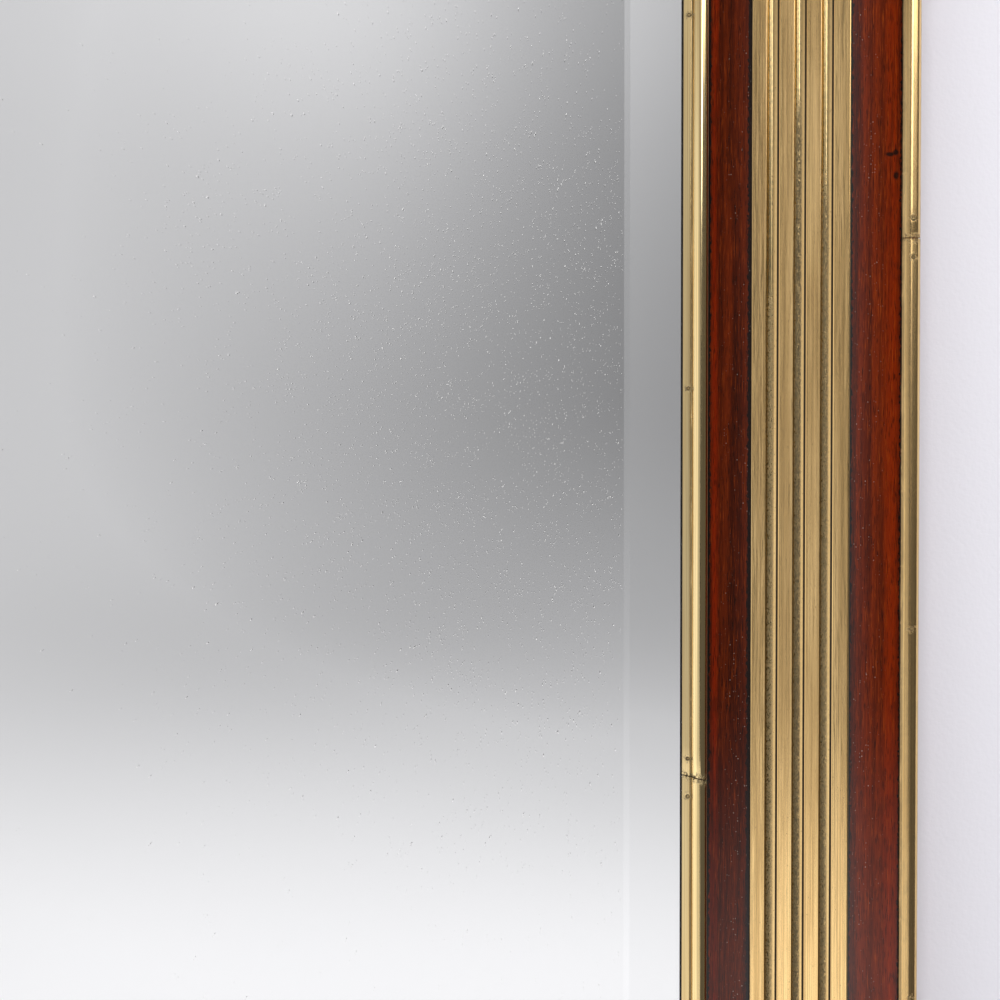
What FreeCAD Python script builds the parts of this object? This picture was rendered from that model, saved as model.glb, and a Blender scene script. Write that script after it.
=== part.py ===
import FreeCAD
import Part
import os
import types

import Sketcher

# A wall mirror in a mahogany and brass frame. The origin is the middle of the wall plane,
# +X is right as seen from the front, +Z is up and the front faces -Y. All lengths are in mm.

SIZES = {
    # Overall
    "overall_width": 900,
    "overall_height": 1300,
    # Widths across the frame, from the plate outwards
    "inner_bead_width": 11,
    "inner_band_width": 18.1,
    "panel_width": 41.5,
    "outer_band_width": 21.5,
    "outer_bead_width": 8,
    # Depths, from the wall forwards
    "back_board_thickness": 8,
    "core_thickness": 22,
    "band_thickness": 3,
    # Carcase
    "rebate_width": 9,
    "lip_thickness": 5,
    "tenon_thickness": 7.4,
    "peg_radius": 4,
    "peg_near_edge": 32,
    "peg_far_edge": 68,
    # Brass skins over their cores
    "brass_thickness": 0.8,
    "brass_gap": 0.1,
    "brass_tuck": 1.5,
    "brass_edge_radius": 0.5,
    # Inner bead: a fillet, a quirk and a roll, heights from the core's front
    "inner_fillet_width": 3.6,
    "inner_fillet_rise": 6,
    "quirk_width": 0.5,
    "inner_roll_rise": 8,
    "sight_turn": 4,
    "inner_joint_drop": 117,
    # Outer bead: a slope up to a crest and a round nose
    "outer_crest_rise": 6.5,
    "outer_slope_drop": 0.9,
    "outer_nose_radius": 4,
    "side_turn": 1.5,
    "outer_joint_lift": 110,
    # Fluted panel
    "panel_rise": 5.5,
    "first_flat_width": 6.25,
    "middle_flat_width": 6.1,
    "flute_width": 5.3,
    "flute_depth": 1.9,
    # Brass pins
    "pin_radius": 0.6,
    "pin_sink": 0.15,
    "pin_end_gap": 8,
    "pin_spacing": 156,
    "pin_corner_gap": 30,
    "inner_pin_line": 2.7,
    "inner_pin_length": 5.4,
    "outer_pin_line": 4.6,
    "outer_pin_length": 10,
    # Plate
    "plate_thickness": 5,
    "plate_cover": 5,
    "bevel_width": 29,
    "bevel_drop": 1.6,
    "facet_width": 2.5,
    "plate_seat_gap": 0.1,
    "silvering_thickness": 0.3,
    # Wedges and blocks that hold the plate
    "wedge_length": 40,
    "wedge_corner_gap": 150,
    "block_length": 40,
    "block_width": 14,
    "block_depth": 8,
    "block_spacing": 240,
    # Back boards and their nails
    "board_overlap": 18,
    "board_lap": 10,
    "board_gap": 0.5,
    "nail_radius": 1.1,
    "nail_head_radius": 2.2,
    "nail_head_thickness": 0.7,
    "nail_length": 24,
    "nail_spacing": 185,
    "nail_board_edge": 36,
    # Hangers
    "hanger_side_gap": 40,
    "hanger_top_gap": 190,
    "strap_thickness": 1.5,
    "strap_width": 16,
    "strap_length": 62,
    "loop_width": 10,
    "loop_bore_radius": 2.3,
    "ring_bar_radius": 2,
    "ring_side_gap": 0.5,
    "ring_eye_radius": 10,
    "ring_rim_width": 4,
    "ring_drop": 14.5,
    "screw_radius": 1.75,
    "screw_head_radius": 3.4,
    "screw_head_depth": 1.4,
    "screw_length": 18,
    "screw_tip_length": 5,
    "screw_slot_width": 0.9,
    "screw_slot_depth": 0.6,
    "screw_spacing": 20,
    "first_screw_drop": 15,
    # Fits and cuts
    "drill_clearance": 0.05,
    "overrun": 5,
}

# The middle of a quarter round lies this share of its radius in from the corner.
QUARTER_SHARE = 0.29289
FACET_SLOPE_SHARE = 0.5
# The back boards' edges, as shares of the way from the middle to the outer edge.
BOARD_EDGE_SHARES = (-1, -1 / 3, 1 / 3, 1)


class Size:
    """A length that carries its value and the formula that gives it from the sheet."""

    def __init__(self, formula, value):
        self.formula = formula
        self.value = value

    def joined(self, other, sign, value):
        return Size(f"({self.formula} {sign} {size_of(other).formula})", value)

    def __add__(self, other):
        return self.joined(other, "+", self.value + size_of(other).value)

    def __sub__(self, other):
        return self.joined(other, "-", self.value - size_of(other).value)

    def __mul__(self, other):
        return self.joined(other, "*", self.value * size_of(other).value)

    def __truediv__(self, other):
        return self.joined(other, "/", self.value / size_of(other).value)

    def __neg__(self):
        return Size(f"(-{self.formula})", -self.value)


def size_of(value):
    """The value as a Size, whether it is one or a plain number."""
    return value if isinstance(value, Size) else Size(repr(value), value)


def copies_within(reach, spacing):
    """How many whole steps of spacing fit in reach."""
    return max(0, int(reach.value / spacing.value))


doc = FreeCAD.newDocument("wall_mirror")
sheet = doc.addObject("Spreadsheet::Sheet", "sizes")
for row, (alias, number) in enumerate(SIZES.items(), start=1):
    sheet.set(f"A{row}", str(number))
    sheet.setAlias(f"A{row}", alias)
doc.recompute()

size = types.SimpleNamespace(**{name: Size(f"sizes.{name}", number) for name, number in SIZES.items()})

# Places across the frame, measured outwards from the sight edge
skin = size.brass_thickness + size.brass_gap
inner_band_start = size.inner_bead_width
panel_start = inner_band_start + size.inner_band_width
outer_band_start = panel_start + size.panel_width
outer_bead_start = outer_band_start + size.outer_band_width
frame_width = outer_bead_start + size.outer_bead_width
core_start = skin
core_end = outer_bead_start + skin
nail_line = size.rebate_width + size.board_overlap / 2

# Planes of depth
core_back = -size.back_board_thickness
core_front = core_back - size.core_thickness
lip_back = core_front + size.lip_thickness
tenon_front = core_front + (size.core_thickness - size.tenon_thickness) / 2
tenon_back = tenon_front + size.tenon_thickness

half_width = size.overall_width / 2
half_height = size.overall_height / 2

# The plate's bevel and planes
bevel_slope = size.bevel_drop / (size.bevel_width - size.facet_width * (1 - FACET_SLOPE_SHARE))
facet_drop = bevel_slope * size.facet_width * FACET_SLOPE_SHARE
plate_edge_front = lip_back + size.plate_seat_gap + bevel_slope * (size.plate_cover - core_start)
plate_front = plate_edge_front - size.bevel_drop
plate_back = plate_front + size.plate_thickness
silvering_back = plate_back + size.silvering_thickness

# The hangers' pivot
loop_radius = size.loop_bore_radius + size.strap_thickness
pivot_depth = core_back + loop_radius
pivot_height = half_height - size.hanger_top_gap
hanger_across = half_width - size.hanger_side_gap


def across(distance):
    """A side's own x of a line that lies this far outwards from the sight edge."""
    return distance - frame_width


def rise(height):
    """The depth of a plane that lies this far in front of the core's front face."""
    return core_front - height


class Side:
    """One side of the frame: its own z runs along it and its own x is 0 at the outer edge."""

    def __init__(self, name, angle, cosine, sine, reach, length):
        self.name = name
        self.rotation = FreeCAD.Rotation(FreeCAD.Vector(0, 1, 0), angle)
        self.cosine = cosine
        self.sine = sine
        self.reach = reach
        self.length = length
        self.sight_reach = length / 2 - frame_width

    def point(self, x, y, z):
        """The place in the frame of the whole part of a point given in the side's own frame."""
        outward = self.reach + x
        if self.cosine:
            return outward * self.cosine, size_of(y), size_of(z) * self.cosine
        return size_of(z) * self.sine, size_of(y), outward * -self.sine


RIGHT = Side("right", 0, 1, 0, half_width, size.overall_height)
TOP = Side("top", -90, 0, -1, half_height, size.overall_width)
LEFT = Side("left", 180, -1, 0, half_width, size.overall_height)
BOTTOM = Side("bottom", 90, 0, 1, half_height, size.overall_width)
SIDES = (LEFT, RIGHT, TOP, BOTTOM)
STILES = (LEFT, RIGHT)
RAILS = (TOP, BOTTOM)

nodes = []


def bind(thing, name, length):
    thing.setExpression(name, size_of(length).formula)


def name_node(thing, label):
    thing.Label = label
    nodes.append(thing)
    return thing


def place(thing, point, rotation=None):
    if rotation is not None:
        thing.Placement = FreeCAD.Placement(FreeCAD.Vector(), rotation)
    for letter, length in zip("xyz", point):
        bind(thing, f"Placement.Base.{letter}", length)


def vector(x, y):
    return FreeCAD.Vector(size_of(x).value, size_of(y).value, 0)


def apply_constraints(sketch, constraints):
    """Adds (constraint, length) pairs to a sketch; a length ties its constraint to the sheet."""
    first = sketch.ConstraintCount
    sketch.addConstraint([constraint for constraint, length in constraints])
    for number, (constraint, length) in enumerate(constraints, start=first):
        if length is not None:
            sketch.setExpression(f"Constraints[{number}]", size_of(length).formula)


def fixed_point(curve, end, x, y):
    """The two constraints that fix one point of a curve from the sketch's origin."""
    x, y = size_of(x), size_of(y)
    return [
        (Sketcher.Constraint("DistanceX", -1, 1, curve, end, x.value), x),
        (Sketcher.Constraint("DistanceY", -1, 1, curve, end, y.value), y),
    ]


def draw(sketch, corners):
    """Draws a closed outline. A corner is (x, y), or (x, y, via_x, via_y) where an arc leads to it."""
    curves = []
    constraints = []
    for index, corner in enumerate(corners):
        start = vector(*corners[index - 1][:2])
        end = vector(*corner[:2])
        if len(corner) == 2:
            curves.append((sketch.addGeometry(Part.LineSegment(start, end), False), 1, 2))
            continue
        via = vector(*corner[2:])
        leftward = (via - start).cross(end - via).z > 0
        arc = Part.Arc(start, via, end) if leftward else Part.Arc(end, via, start)
        curve = sketch.addGeometry(arc, False)
        curves.append((curve, 1, 2) if leftward else (curve, 2, 1))
        spot = sketch.addGeometry(Part.Point(via), True)
        constraints += fixed_point(spot, 1, *corner[2:])
        constraints.append((Sketcher.Constraint("PointOnObject", spot, 1, curve), None))
    for index, (curve, first, last) in enumerate(curves):
        before = curves[index - 1]
        meeting = Sketcher.Constraint("Coincident", before[0], before[2], curve, first)
        constraints.append((meeting, None))
        constraints += fixed_point(curve, last, *corners[index][:2])
    apply_constraints(sketch, constraints)


def draw_circles(sketch, places, radius):
    constraints = []
    for x, y in places:
        circle = Part.Circle(vector(x, y), FreeCAD.Vector(0, 0, 1), size_of(radius).value)
        curve = sketch.addGeometry(circle, False)
        constraints += fixed_point(curve, 3, x, y)
        constraints.append((Sketcher.Constraint("Radius", curve, size_of(radius).value), radius))
    apply_constraints(sketch, constraints)


def rectangle(low_x, high_x, low_y, high_y):
    return [(low_x, low_y), (high_x, low_y), (high_x, high_y), (low_x, high_y)]


def new_body(label, point=None, rotation=None):
    body = doc.addObject("PartDesign::Body", label)
    name_node(body, label)
    if point is not None:
        place(body, point, rotation)
    return body


def side_body(label, side):
    return new_body(label, side.point(size_of(0), 0, 0), side.rotation)


def new_sketch(body, role, offset=None):
    """A sketch on one of the body's own planes, moved along the plane's normal by offset."""
    sketch = body.newObject("Sketcher::SketchObject", f"{body.Name}_sketch")
    plane = next(plane for plane in body.Origin.OriginFeatures if plane.Role == role)
    sketch.AttachmentSupport = (plane, "")
    sketch.MapMode = "FlatFace"
    if offset is not None:
        bind(sketch, "AttachmentOffset.Base.z", offset)
    return sketch


def extrude(body, kind, sketch, length, symmetric=False, backwards=False):
    feature = body.newObject(f"PartDesign::{kind}", f"{body.Name}_{kind.lower()}")
    feature.Profile = sketch
    feature.SideType = "Symmetric" if symmetric else "One side"
    feature.Reversed = backwards
    bind(feature, "Length", length)
    return feature


def add_run(body, corners, low, high):
    """Pads an outline of the body's x and y along its z, from low to high."""
    sketch = new_sketch(body, "XY_Plane", low)
    draw(sketch, corners)
    return extrude(body, "Pad", sketch, high - low)


def add_slab(body, corners, front, back):
    """Pads an outline of the body's x and z between two depths."""
    sketch = new_sketch(body, "XZ_Plane", -back)
    draw(sketch, corners)
    return extrude(body, "Pad", sketch, back - front)


def cut_slab(body, outlines, front, back):
    """Cuts outlines of the body's x and z between two depths."""
    sketch = new_sketch(body, "XZ_Plane", -front)
    for corners in outlines:
        draw(sketch, corners)
    return extrude(body, "Pocket", sketch, back - front)


def drill(body, places, radius, mouth, bottom):
    """Bores round holes at places of x and z, from the depth of the mouth to that of the bottom."""
    sketch = new_sketch(body, "XZ_Plane", -mouth)
    draw_circles(sketch, places, radius)
    backwards = bottom.value < mouth.value
    depth = mouth - bottom if backwards else bottom - mouth
    return extrude(body, "Pocket", sketch, depth, backwards=backwards)


def cut_mitres(body, side, low_end, high_end):
    """Cuts the ends of a run at 45 degrees, along the lines that meet at the frame's corners."""
    near = size.overrun
    far = frame_width + size.overrun
    end = side.length / 2
    outlines = []
    if high_end:
        outlines.append([(near, end + near), (-far, end - far), (-far, end + near)])
    if low_end:
        outlines.append([(near, -end - near), (-far, -end - near), (-far, far - end)])
    cut_slab(body, outlines, rise(size.inner_roll_rise + size.overrun), size.overrun)


def box(name, low, high):
    """A Part::Box between two corners, each given as three lengths."""
    thing = doc.addObject("Part::Box", name)
    for prop, start, end in zip(("Length", "Width", "Height"), low, high):
        bind(thing, prop, size_of(end) - start)
    place(thing, low)
    return thing


def side_box(name, side, x_pair, y_pair, z_pair):
    """A Part::Box given in a side's own frame."""
    thing = doc.addObject("Part::Box", name)
    for prop, (start, end) in zip(("Length", "Width", "Height"), (x_pair, y_pair, z_pair)):
        bind(thing, prop, size_of(end) - start)
    place(thing, side.point(x_pair[0], y_pair[0], z_pair[0]), side.rotation)
    return thing


def rod(name, point, radius, length):
    """A round rod from a point towards the wall."""
    thing = doc.addObject("Part::Cylinder", name)
    bind(thing, "Radius", radius)
    bind(thing, "Height", length)
    place(thing, point, FreeCAD.Rotation(FreeCAD.Vector(1, 0, 0), -90))
    return thing


def taper(name, point, first_radius, last_radius, length):
    """A cone from a point towards the wall."""
    thing = doc.addObject("Part::Cone", name)
    bind(thing, "Radius1", first_radius)
    bind(thing, "Radius2", last_radius)
    bind(thing, "Height", length)
    place(thing, point, FreeCAD.Rotation(FreeCAD.Vector(1, 0, 0), -90))
    return thing


def joined(name, things):
    thing = doc.addObject("Part::MultiFuse", name)
    thing.Shapes = things
    return thing


def less(name, base, tool):
    thing = doc.addObject("Part::Cut", name)
    thing.Base = base
    thing.Tool = tool
    return thing


def group(label, things):
    """One node that holds several like pieces, each a solid of its own."""
    thing = doc.addObject("Part::Compound", label)
    thing.Links = things
    return name_node(thing, label)


def steps_from(start, spacing, reach):
    """Places from start outwards by whole steps of spacing, up to a length of reach."""
    return [start + spacing * step for step in range(copies_within(reach, spacing) + 1)]


def centred_steps(spacing, reach):
    """Places each way from the middle by whole steps of spacing, none past reach."""
    steps = copies_within(reach, spacing)
    return [spacing * step for step in range(-steps, steps + 1)]


def corner_peg_places(side):
    """x and z of the pegs at a side's two ends, in the side's own frame."""
    places = []
    for near, far in ((size.peg_near_edge, size.peg_far_edge), (size.peg_far_edge, size.peg_near_edge)):
        places += [(-near, side.length / 2 - far), (-near, far - side.length / 2)]
    return places


def board_edges():
    """The x of the back boards' edges: two outer edges and the middles of the two laps."""
    edge = half_width - frame_width + size.rebate_width + size.board_overlap
    return [edge * share for share in BOARD_EDGE_SHARES]


def nail_places(side):
    """x and z of the nails along a side, in the side's own frame."""
    if side in STILES:
        reach = side.sight_reach - size.board_overlap
        return [(across(nail_line), z) for z in centred_steps(size.nail_spacing, reach)]
    edges = board_edges()
    lines = []
    for left, right in zip(edges, edges[1:]):
        lines += [left + size.nail_board_edge, right - size.nail_board_edge]
    return [(across(nail_line), line) for line in lines]


def screw_heights():
    return [pivot_height - size.first_screw_drop - size.screw_spacing * turn for turn in range(3)]


def drill_core(body, side):
    """The holes for pegs and nails in a stile or rail."""
    drill(body, corner_peg_places(side), size.peg_radius + size.drill_clearance, core_front, core_back)
    tip = core_back - size.nail_length + size.back_board_thickness
    drill(body, nail_places(side), size.nail_radius + size.drill_clearance, core_back, tip)


def make_stile(side):
    """A stile runs the full height, with a rebate for the plate and an open mortise at each end."""
    body = side_body(f"stile_core_{side.name}", side)
    end = side.length / 2 - frame_width + core_end
    section = [
        (across(core_start), core_front),
        (across(core_end), core_front),
        (across(core_end), core_back),
        (across(size.rebate_width), core_back),
        (across(size.rebate_width), lip_back),
        (across(core_start), lip_back),
    ]
    add_run(body, section, -end, end)
    shoulder = side.sight_reach + size.rebate_width
    past_end = end + size.overrun
    past_core = (across(core_start) - size.overrun, across(core_end) + size.overrun)
    mortises = [rectangle(*past_core, shoulder, past_end), rectangle(*past_core, -past_end, -shoulder)]
    cut_slab(body, mortises, tenon_front, tenon_back)
    drill_core(body, side)
    sign = side.cosine
    holes = [(-size.hanger_side_gap, height * sign) for height in screw_heights()]
    tip = core_back + size.strap_thickness - size.screw_length
    drill(body, holes, size.screw_radius + size.drill_clearance, core_back, tip)


def make_rail(side):
    """A rail has a tenon at each end that runs right through the stile."""
    body = side_body(f"rail_core_{side.name}", side)
    shoulder = side.sight_reach + size.rebate_width
    lip_end = side.sight_reach + core_start
    end = side.sight_reach + core_end
    back = rectangle(across(size.rebate_width), across(core_end), lip_back, core_back)
    add_run(body, back, -shoulder, shoulder)
    lip = rectangle(across(core_start), across(core_end), core_front, lip_back)
    add_run(body, lip, -lip_end, lip_end)
    tenon = rectangle(across(size.rebate_width), across(core_end), tenon_front, tenon_back)
    add_run(body, tenon, -end, end)
    drill_core(body, side)


def make_pegs():
    pegs = []
    for side in STILES:
        for x, z in corner_peg_places(side):
            point = side.point(x, core_front, z)
            pegs.append(rod("peg", point, size.peg_radius, size.core_thickness))
    group("corner_pegs", pegs)


def make_band(label, side, start, width):
    """A flat mahogany band glued on the core."""
    body = side_body(f"{label}_{side.name}", side)
    section = rectangle(across(start), across(start + width), rise(size.band_thickness), core_front)
    add_run(body, section, -side.length / 2, side.length / 2)
    cut_mitres(body, side, True, True)


# The inner bead's roll, in distance from the sight edge and height above the core
roll_start = size.inner_fillet_width + size.quirk_width
roll_radius = (size.inner_bead_width - roll_start) / 2
roll_middle = roll_start + roll_radius
roll_foot = size.inner_roll_rise - roll_radius
fillet_underside = roll_foot - size.brass_thickness
skirt_foot = size.band_thickness - size.brass_tuck


def inner_bead_section():
    """The brass: turned over the sight edge, flat on the fillet, then over the roll."""
    edge = size.brass_edge_radius
    thick = size.brass_thickness
    corners = [
        (0, size.inner_fillet_rise - size.sight_turn),
        (0, size.inner_fillet_rise - edge),
        (edge, size.inner_fillet_rise, edge * QUARTER_SHARE, size.inner_fillet_rise - edge * QUARTER_SHARE),
        (size.inner_fillet_width, size.inner_fillet_rise),
        (size.inner_fillet_width, roll_foot),
        (roll_start, roll_foot),
        (size.inner_bead_width, roll_foot, roll_middle, size.inner_roll_rise),
        (size.inner_bead_width, skirt_foot),
        (size.inner_bead_width - thick, skirt_foot),
        (size.inner_bead_width - thick, roll_foot),
        (roll_start + thick, roll_foot, roll_middle, size.inner_roll_rise - thick),
        (roll_start + thick, fillet_underside),
        (thick, fillet_underside),
        (thick, size.inner_fillet_rise - size.sight_turn),
    ]
    return in_side_frame(corners)


def inner_bead_core_section():
    corners = [
        (skin, 0),
        (skin, fillet_underside - size.brass_gap),
        (roll_start + skin, fillet_underside - size.brass_gap),
        (roll_start + skin, roll_foot),
        (size.inner_bead_width - skin, roll_foot, roll_middle, size.inner_roll_rise - skin),
        (size.inner_bead_width - skin, 0),
    ]
    return in_side_frame(corners)


# The outer bead's crest, in distance from the sight edge
crest = frame_width - size.outer_nose_radius
slope_foot = size.outer_crest_rise - size.outer_slope_drop


def slope_middle(inset):
    """The height, below the crest, of the slope's arc half way along it."""
    run = crest - outer_bead_start - inset
    radius = (run * run + size.outer_slope_drop * size.outer_slope_drop) / (size.outer_slope_drop * 2)
    return run * run / (radius * 8)


def outer_bead_section():
    """The brass: up a slope to the crest, round the nose and down the outer side."""
    thick = size.brass_thickness
    nose = size.outer_nose_radius
    inner_nose = nose - thick
    side_foot = size.outer_crest_rise - nose - size.side_turn
    middle = (crest + outer_bead_start) / 2
    inner_middle = (crest + outer_bead_start + thick) / 2
    corners = [
        (outer_bead_start, skirt_foot),
        (outer_bead_start, slope_foot),
        (crest, size.outer_crest_rise, middle, size.outer_crest_rise - slope_middle(0)),
        nose_corner(nose, 0),
        (frame_width, side_foot),
        (frame_width - thick, side_foot),
        (frame_width - thick, size.outer_crest_rise - nose),
        nose_return(inner_nose, thick),
        (
            outer_bead_start + thick,
            slope_foot - thick,
            inner_middle,
            size.outer_crest_rise - thick - slope_middle(thick),
        ),
        (outer_bead_start + thick, skirt_foot),
    ]
    return in_side_frame(corners)


def nose_corner(radius, inset):
    """The arc from the crest round to the outer side."""
    corner_x = frame_width - inset
    corner_height = size.outer_crest_rise - inset
    dip = radius * QUARTER_SHARE
    return corner_x, size.outer_crest_rise - size.outer_nose_radius, corner_x - dip, corner_height - dip


def nose_return(radius, inset):
    """The same arc from the outer side back to the crest."""
    corner_x = frame_width - inset
    corner_height = size.outer_crest_rise - inset
    dip = radius * QUARTER_SHARE
    return crest, corner_height, corner_x - dip, corner_height - dip


def lipping_section():
    """A mahogany lipping whose front edge is rounded to carry the outer bead's brass."""
    inner_middle = (crest + core_end) / 2
    corners = [
        (core_end, core_front - core_back),
        (core_end, slope_foot - skin),
        (crest, size.outer_crest_rise - skin, inner_middle, size.outer_crest_rise - skin - slope_middle(skin)),
        nose_corner(size.outer_nose_radius - skin, skin),
        (frame_width - skin, core_front - core_back),
    ]
    return in_side_frame(corners)


def in_side_frame(corners):
    """Turns corners of distance from the sight edge and height above the core into x and y."""
    turned = []
    for corner in corners:
        point = (across(size_of(corner[0])), rise(corner[1]))
        if len(corner) == 4:
            point += (across(size_of(corner[2])), rise(corner[3]))
        turned.append(point)
    return turned


def flute_starts():
    pitch = size.flute_width + size.middle_flat_width
    return [panel_start + size.first_flat_width + pitch * number for number in range(3)]


def fluted_line(inset, drop):
    """The panel's face from left to right, moved down by drop, each flute wider by inset each way."""
    top = size.panel_rise - drop
    line = []
    for start in flute_starts():
        low = start - inset
        high = start + size.flute_width + inset
        line.append((low, top))
        line.append((high, top, (low + high) / 2, top - size.flute_depth))
    return line


def fluted_panel_section():
    """The brass: down both sides between the bands, and across the face with its three flutes."""
    edge = size.brass_edge_radius
    dip = edge * QUARTER_SHARE
    thick = size.brass_thickness
    top = size.panel_rise
    end = panel_start + size.panel_width
    outside = [
        (panel_start, skirt_foot),
        (panel_start, top - edge),
        (panel_start + edge, top, panel_start + dip, top - dip),
        *fluted_line(0, 0),
        (end - edge, top),
        (end, top - edge, end - dip, top - dip),
        (end, skirt_foot),
    ]
    inside = [(end - thick, skirt_foot), (end - thick, top - thick)]
    for low, high in reversed(list(zip(fluted_line(thick, thick)[::2], fluted_line(thick, thick)[1::2]))):
        inside.append((high[0], high[1]))
        inside.append((low[0], low[1], high[2], high[3]))
    inside += [(panel_start + thick, top - thick), (panel_start + thick, skirt_foot)]
    return in_side_frame(outside + inside)


def panel_core_section():
    start = panel_start + skin
    end = panel_start + size.panel_width - skin
    top = size.panel_rise - skin
    corners = [(start, 0), (start, top), *fluted_line(skin, skin), (end, top), (end, 0)]
    return in_side_frame(corners)


def make_mitred(label, side, section):
    body = side_body(f"{label}_{side.name}", side)
    add_run(body, section, -side.length / 2, side.length / 2)
    cut_mitres(body, side, True, True)
    return body


def pin_places(side, joint):
    """Where the pins of a side's bead lie along it, each side of a joint or out from the middle."""
    limit = side.sight_reach - size.pin_corner_gap
    if joint is None:
        return centred_steps(size.pin_spacing, limit)
    above = joint + size.pin_end_gap
    below = joint - size.pin_end_gap
    return steps_from(above, size.pin_spacing, limit - above) + steps_from(
        below, -size.pin_spacing, -limit - below
    )


def bead_lengths(side, joint):
    """The lengths of a side's bead: (name ending, low end, high end, low mitred, high mitred)."""
    end = side.length / 2
    if joint is None:
        return [("", -end, end, True, True)]
    first, second = ("lower", "upper") if side.cosine > 0 else ("upper", "lower")
    return [(f"_{first}", -end, joint, True, False), (f"_{second}", joint, end, False, True)]


def make_bead(label, side, section, joint, pin_line, top):
    """A side's brass bead, in one length or in two that meet at a joint, bored for its pins."""
    places = pin_places(side, joint)
    for ending, low, high, low_mitre, high_mitre in bead_lengths(side, joint):
        body = side_body(f"{label}_{side.name}{ending}", side)
        add_run(body, section, low, high)
        cut_mitres(body, side, low_mitre, high_mitre)
        own = [(across(pin_line), z) for z in places if low.value < z.value < high.value]
        drill(body, own, size.pin_radius + size.drill_clearance, rise(top + size.overrun), core_front)


def make_pins(label, joint_of, pin_line, top, length):
    pins = []
    for side in SIDES:
        for z in pin_places(side, joint_of(side)):
            point = side.point(across(pin_line), rise(top - size.pin_sink), z)
            pins.append(rod("pin", point, size.pin_radius, length))
    group(label, pins)


def inner_joint(side):
    return -size.inner_joint_drop if side in STILES else None


def outer_joint(side):
    return size.outer_joint_lift if side in STILES else None


inner_pin_line = size.inner_pin_line
outer_pin_line = outer_bead_start + size.outer_pin_line


def make_inner_bead(side):
    make_bead(
        "inner_bead", side, inner_bead_section(), inner_joint(side), inner_pin_line, size.inner_fillet_rise
    )
    core = make_mitred("inner_bead_core", side, inner_bead_core_section())
    places = [(across(inner_pin_line), z) for z in pin_places(side, inner_joint(side))]
    mouth = rise(size.inner_fillet_rise + size.overrun)
    drill(core, places, size.pin_radius + size.drill_clearance, mouth, core_front)


def make_outer_bead(side):
    make_bead(
        "outer_bead", side, outer_bead_section(), outer_joint(side), outer_pin_line, size.outer_crest_rise
    )
    lipping = make_mitred("outer_lipping", side, lipping_section())
    places = [(across(outer_pin_line), z) for z in pin_places(side, outer_joint(side))]
    tip = rise(size.outer_crest_rise - size.pin_sink - size.outer_pin_length)
    mouth = rise(size.outer_crest_rise + size.overrun)
    drill(lipping, places, size.pin_radius + size.drill_clearance, mouth, tip)


def make_plate():
    """The glass: flat back, square edge, a wide bevel and a narrow facet at the bevel's inner line."""
    body = new_body("mirror_plate")
    half_x = half_width - frame_width + size.plate_cover
    half_z = half_height - frame_width + size.plate_cover
    edge_slab = rectangle(-half_x, half_x, -half_z, half_z)
    add_slab(body, edge_slab, plate_edge_front, plate_back)
    outer_inset = size.bevel_width - size.facet_width
    levels = [
        (size_of(0), plate_edge_front),
        (outer_inset, plate_front + facet_drop),
        (size.bevel_width, plate_front),
    ]
    sketches = []
    for inset, depth in levels:
        sketch = new_sketch(body, "XZ_Plane", -depth)
        draw(sketch, rectangle(inset - half_x, half_x - inset, inset - half_z, half_z - inset))
        sketches.append(sketch)
    loft = body.newObject("PartDesign::AdditiveLoft", "bevel")
    loft.Profile = sketches[0]
    loft.Sections = sketches[1:]
    loft.Ruled = True


def make_silvering():
    half_x = half_width - frame_width + size.plate_cover
    half_z = half_height - frame_width + size.plate_cover
    sheet_of_silver = box(
        "silvering", (-half_x, plate_back, -half_z), (half_x, silvering_back, half_z)
    )
    name_node(sheet_of_silver, "silvering")


def make_wedges():
    """Thin wedges between the plate's edge and the rebate's wall, near each corner."""
    wedges = []
    for side in SIDES:
        middle = side.sight_reach - size.wedge_corner_gap
        for sign in (-1, 1):
            start = middle * sign - size.wedge_length / 2
            span = (start, start + size.wedge_length)
            gap = (across(size.plate_cover), across(size.rebate_width))
            wedges.append(side_box("wedge", side, gap, (plate_edge_front, plate_back), span))
    group("plate_wedges", wedges)


def make_blocks():
    """Softwood blocks glued in the rebate behind the silvered plate."""
    blocks = []
    for side in SIDES:
        reach = side.sight_reach - size.block_length
        for middle in centred_steps(size.block_spacing, reach):
            span = (middle - size.block_length / 2, middle + size.block_length / 2)
            seat = (across(size.rebate_width - size.block_width), across(size.rebate_width))
            depth = (silvering_back, silvering_back + size.block_depth)
            blocks.append(side_box("block", side, seat, depth, span))
    group("glazing_blocks", blocks)


def board_nail_places():
    """x and z in the whole part's frame of all the nails in the back boards."""
    places = []
    for side in SIDES:
        for x, z in nail_places(side):
            point = side.point(x, 0, z)
            places.append((point[0], point[2]))
    return places


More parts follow.
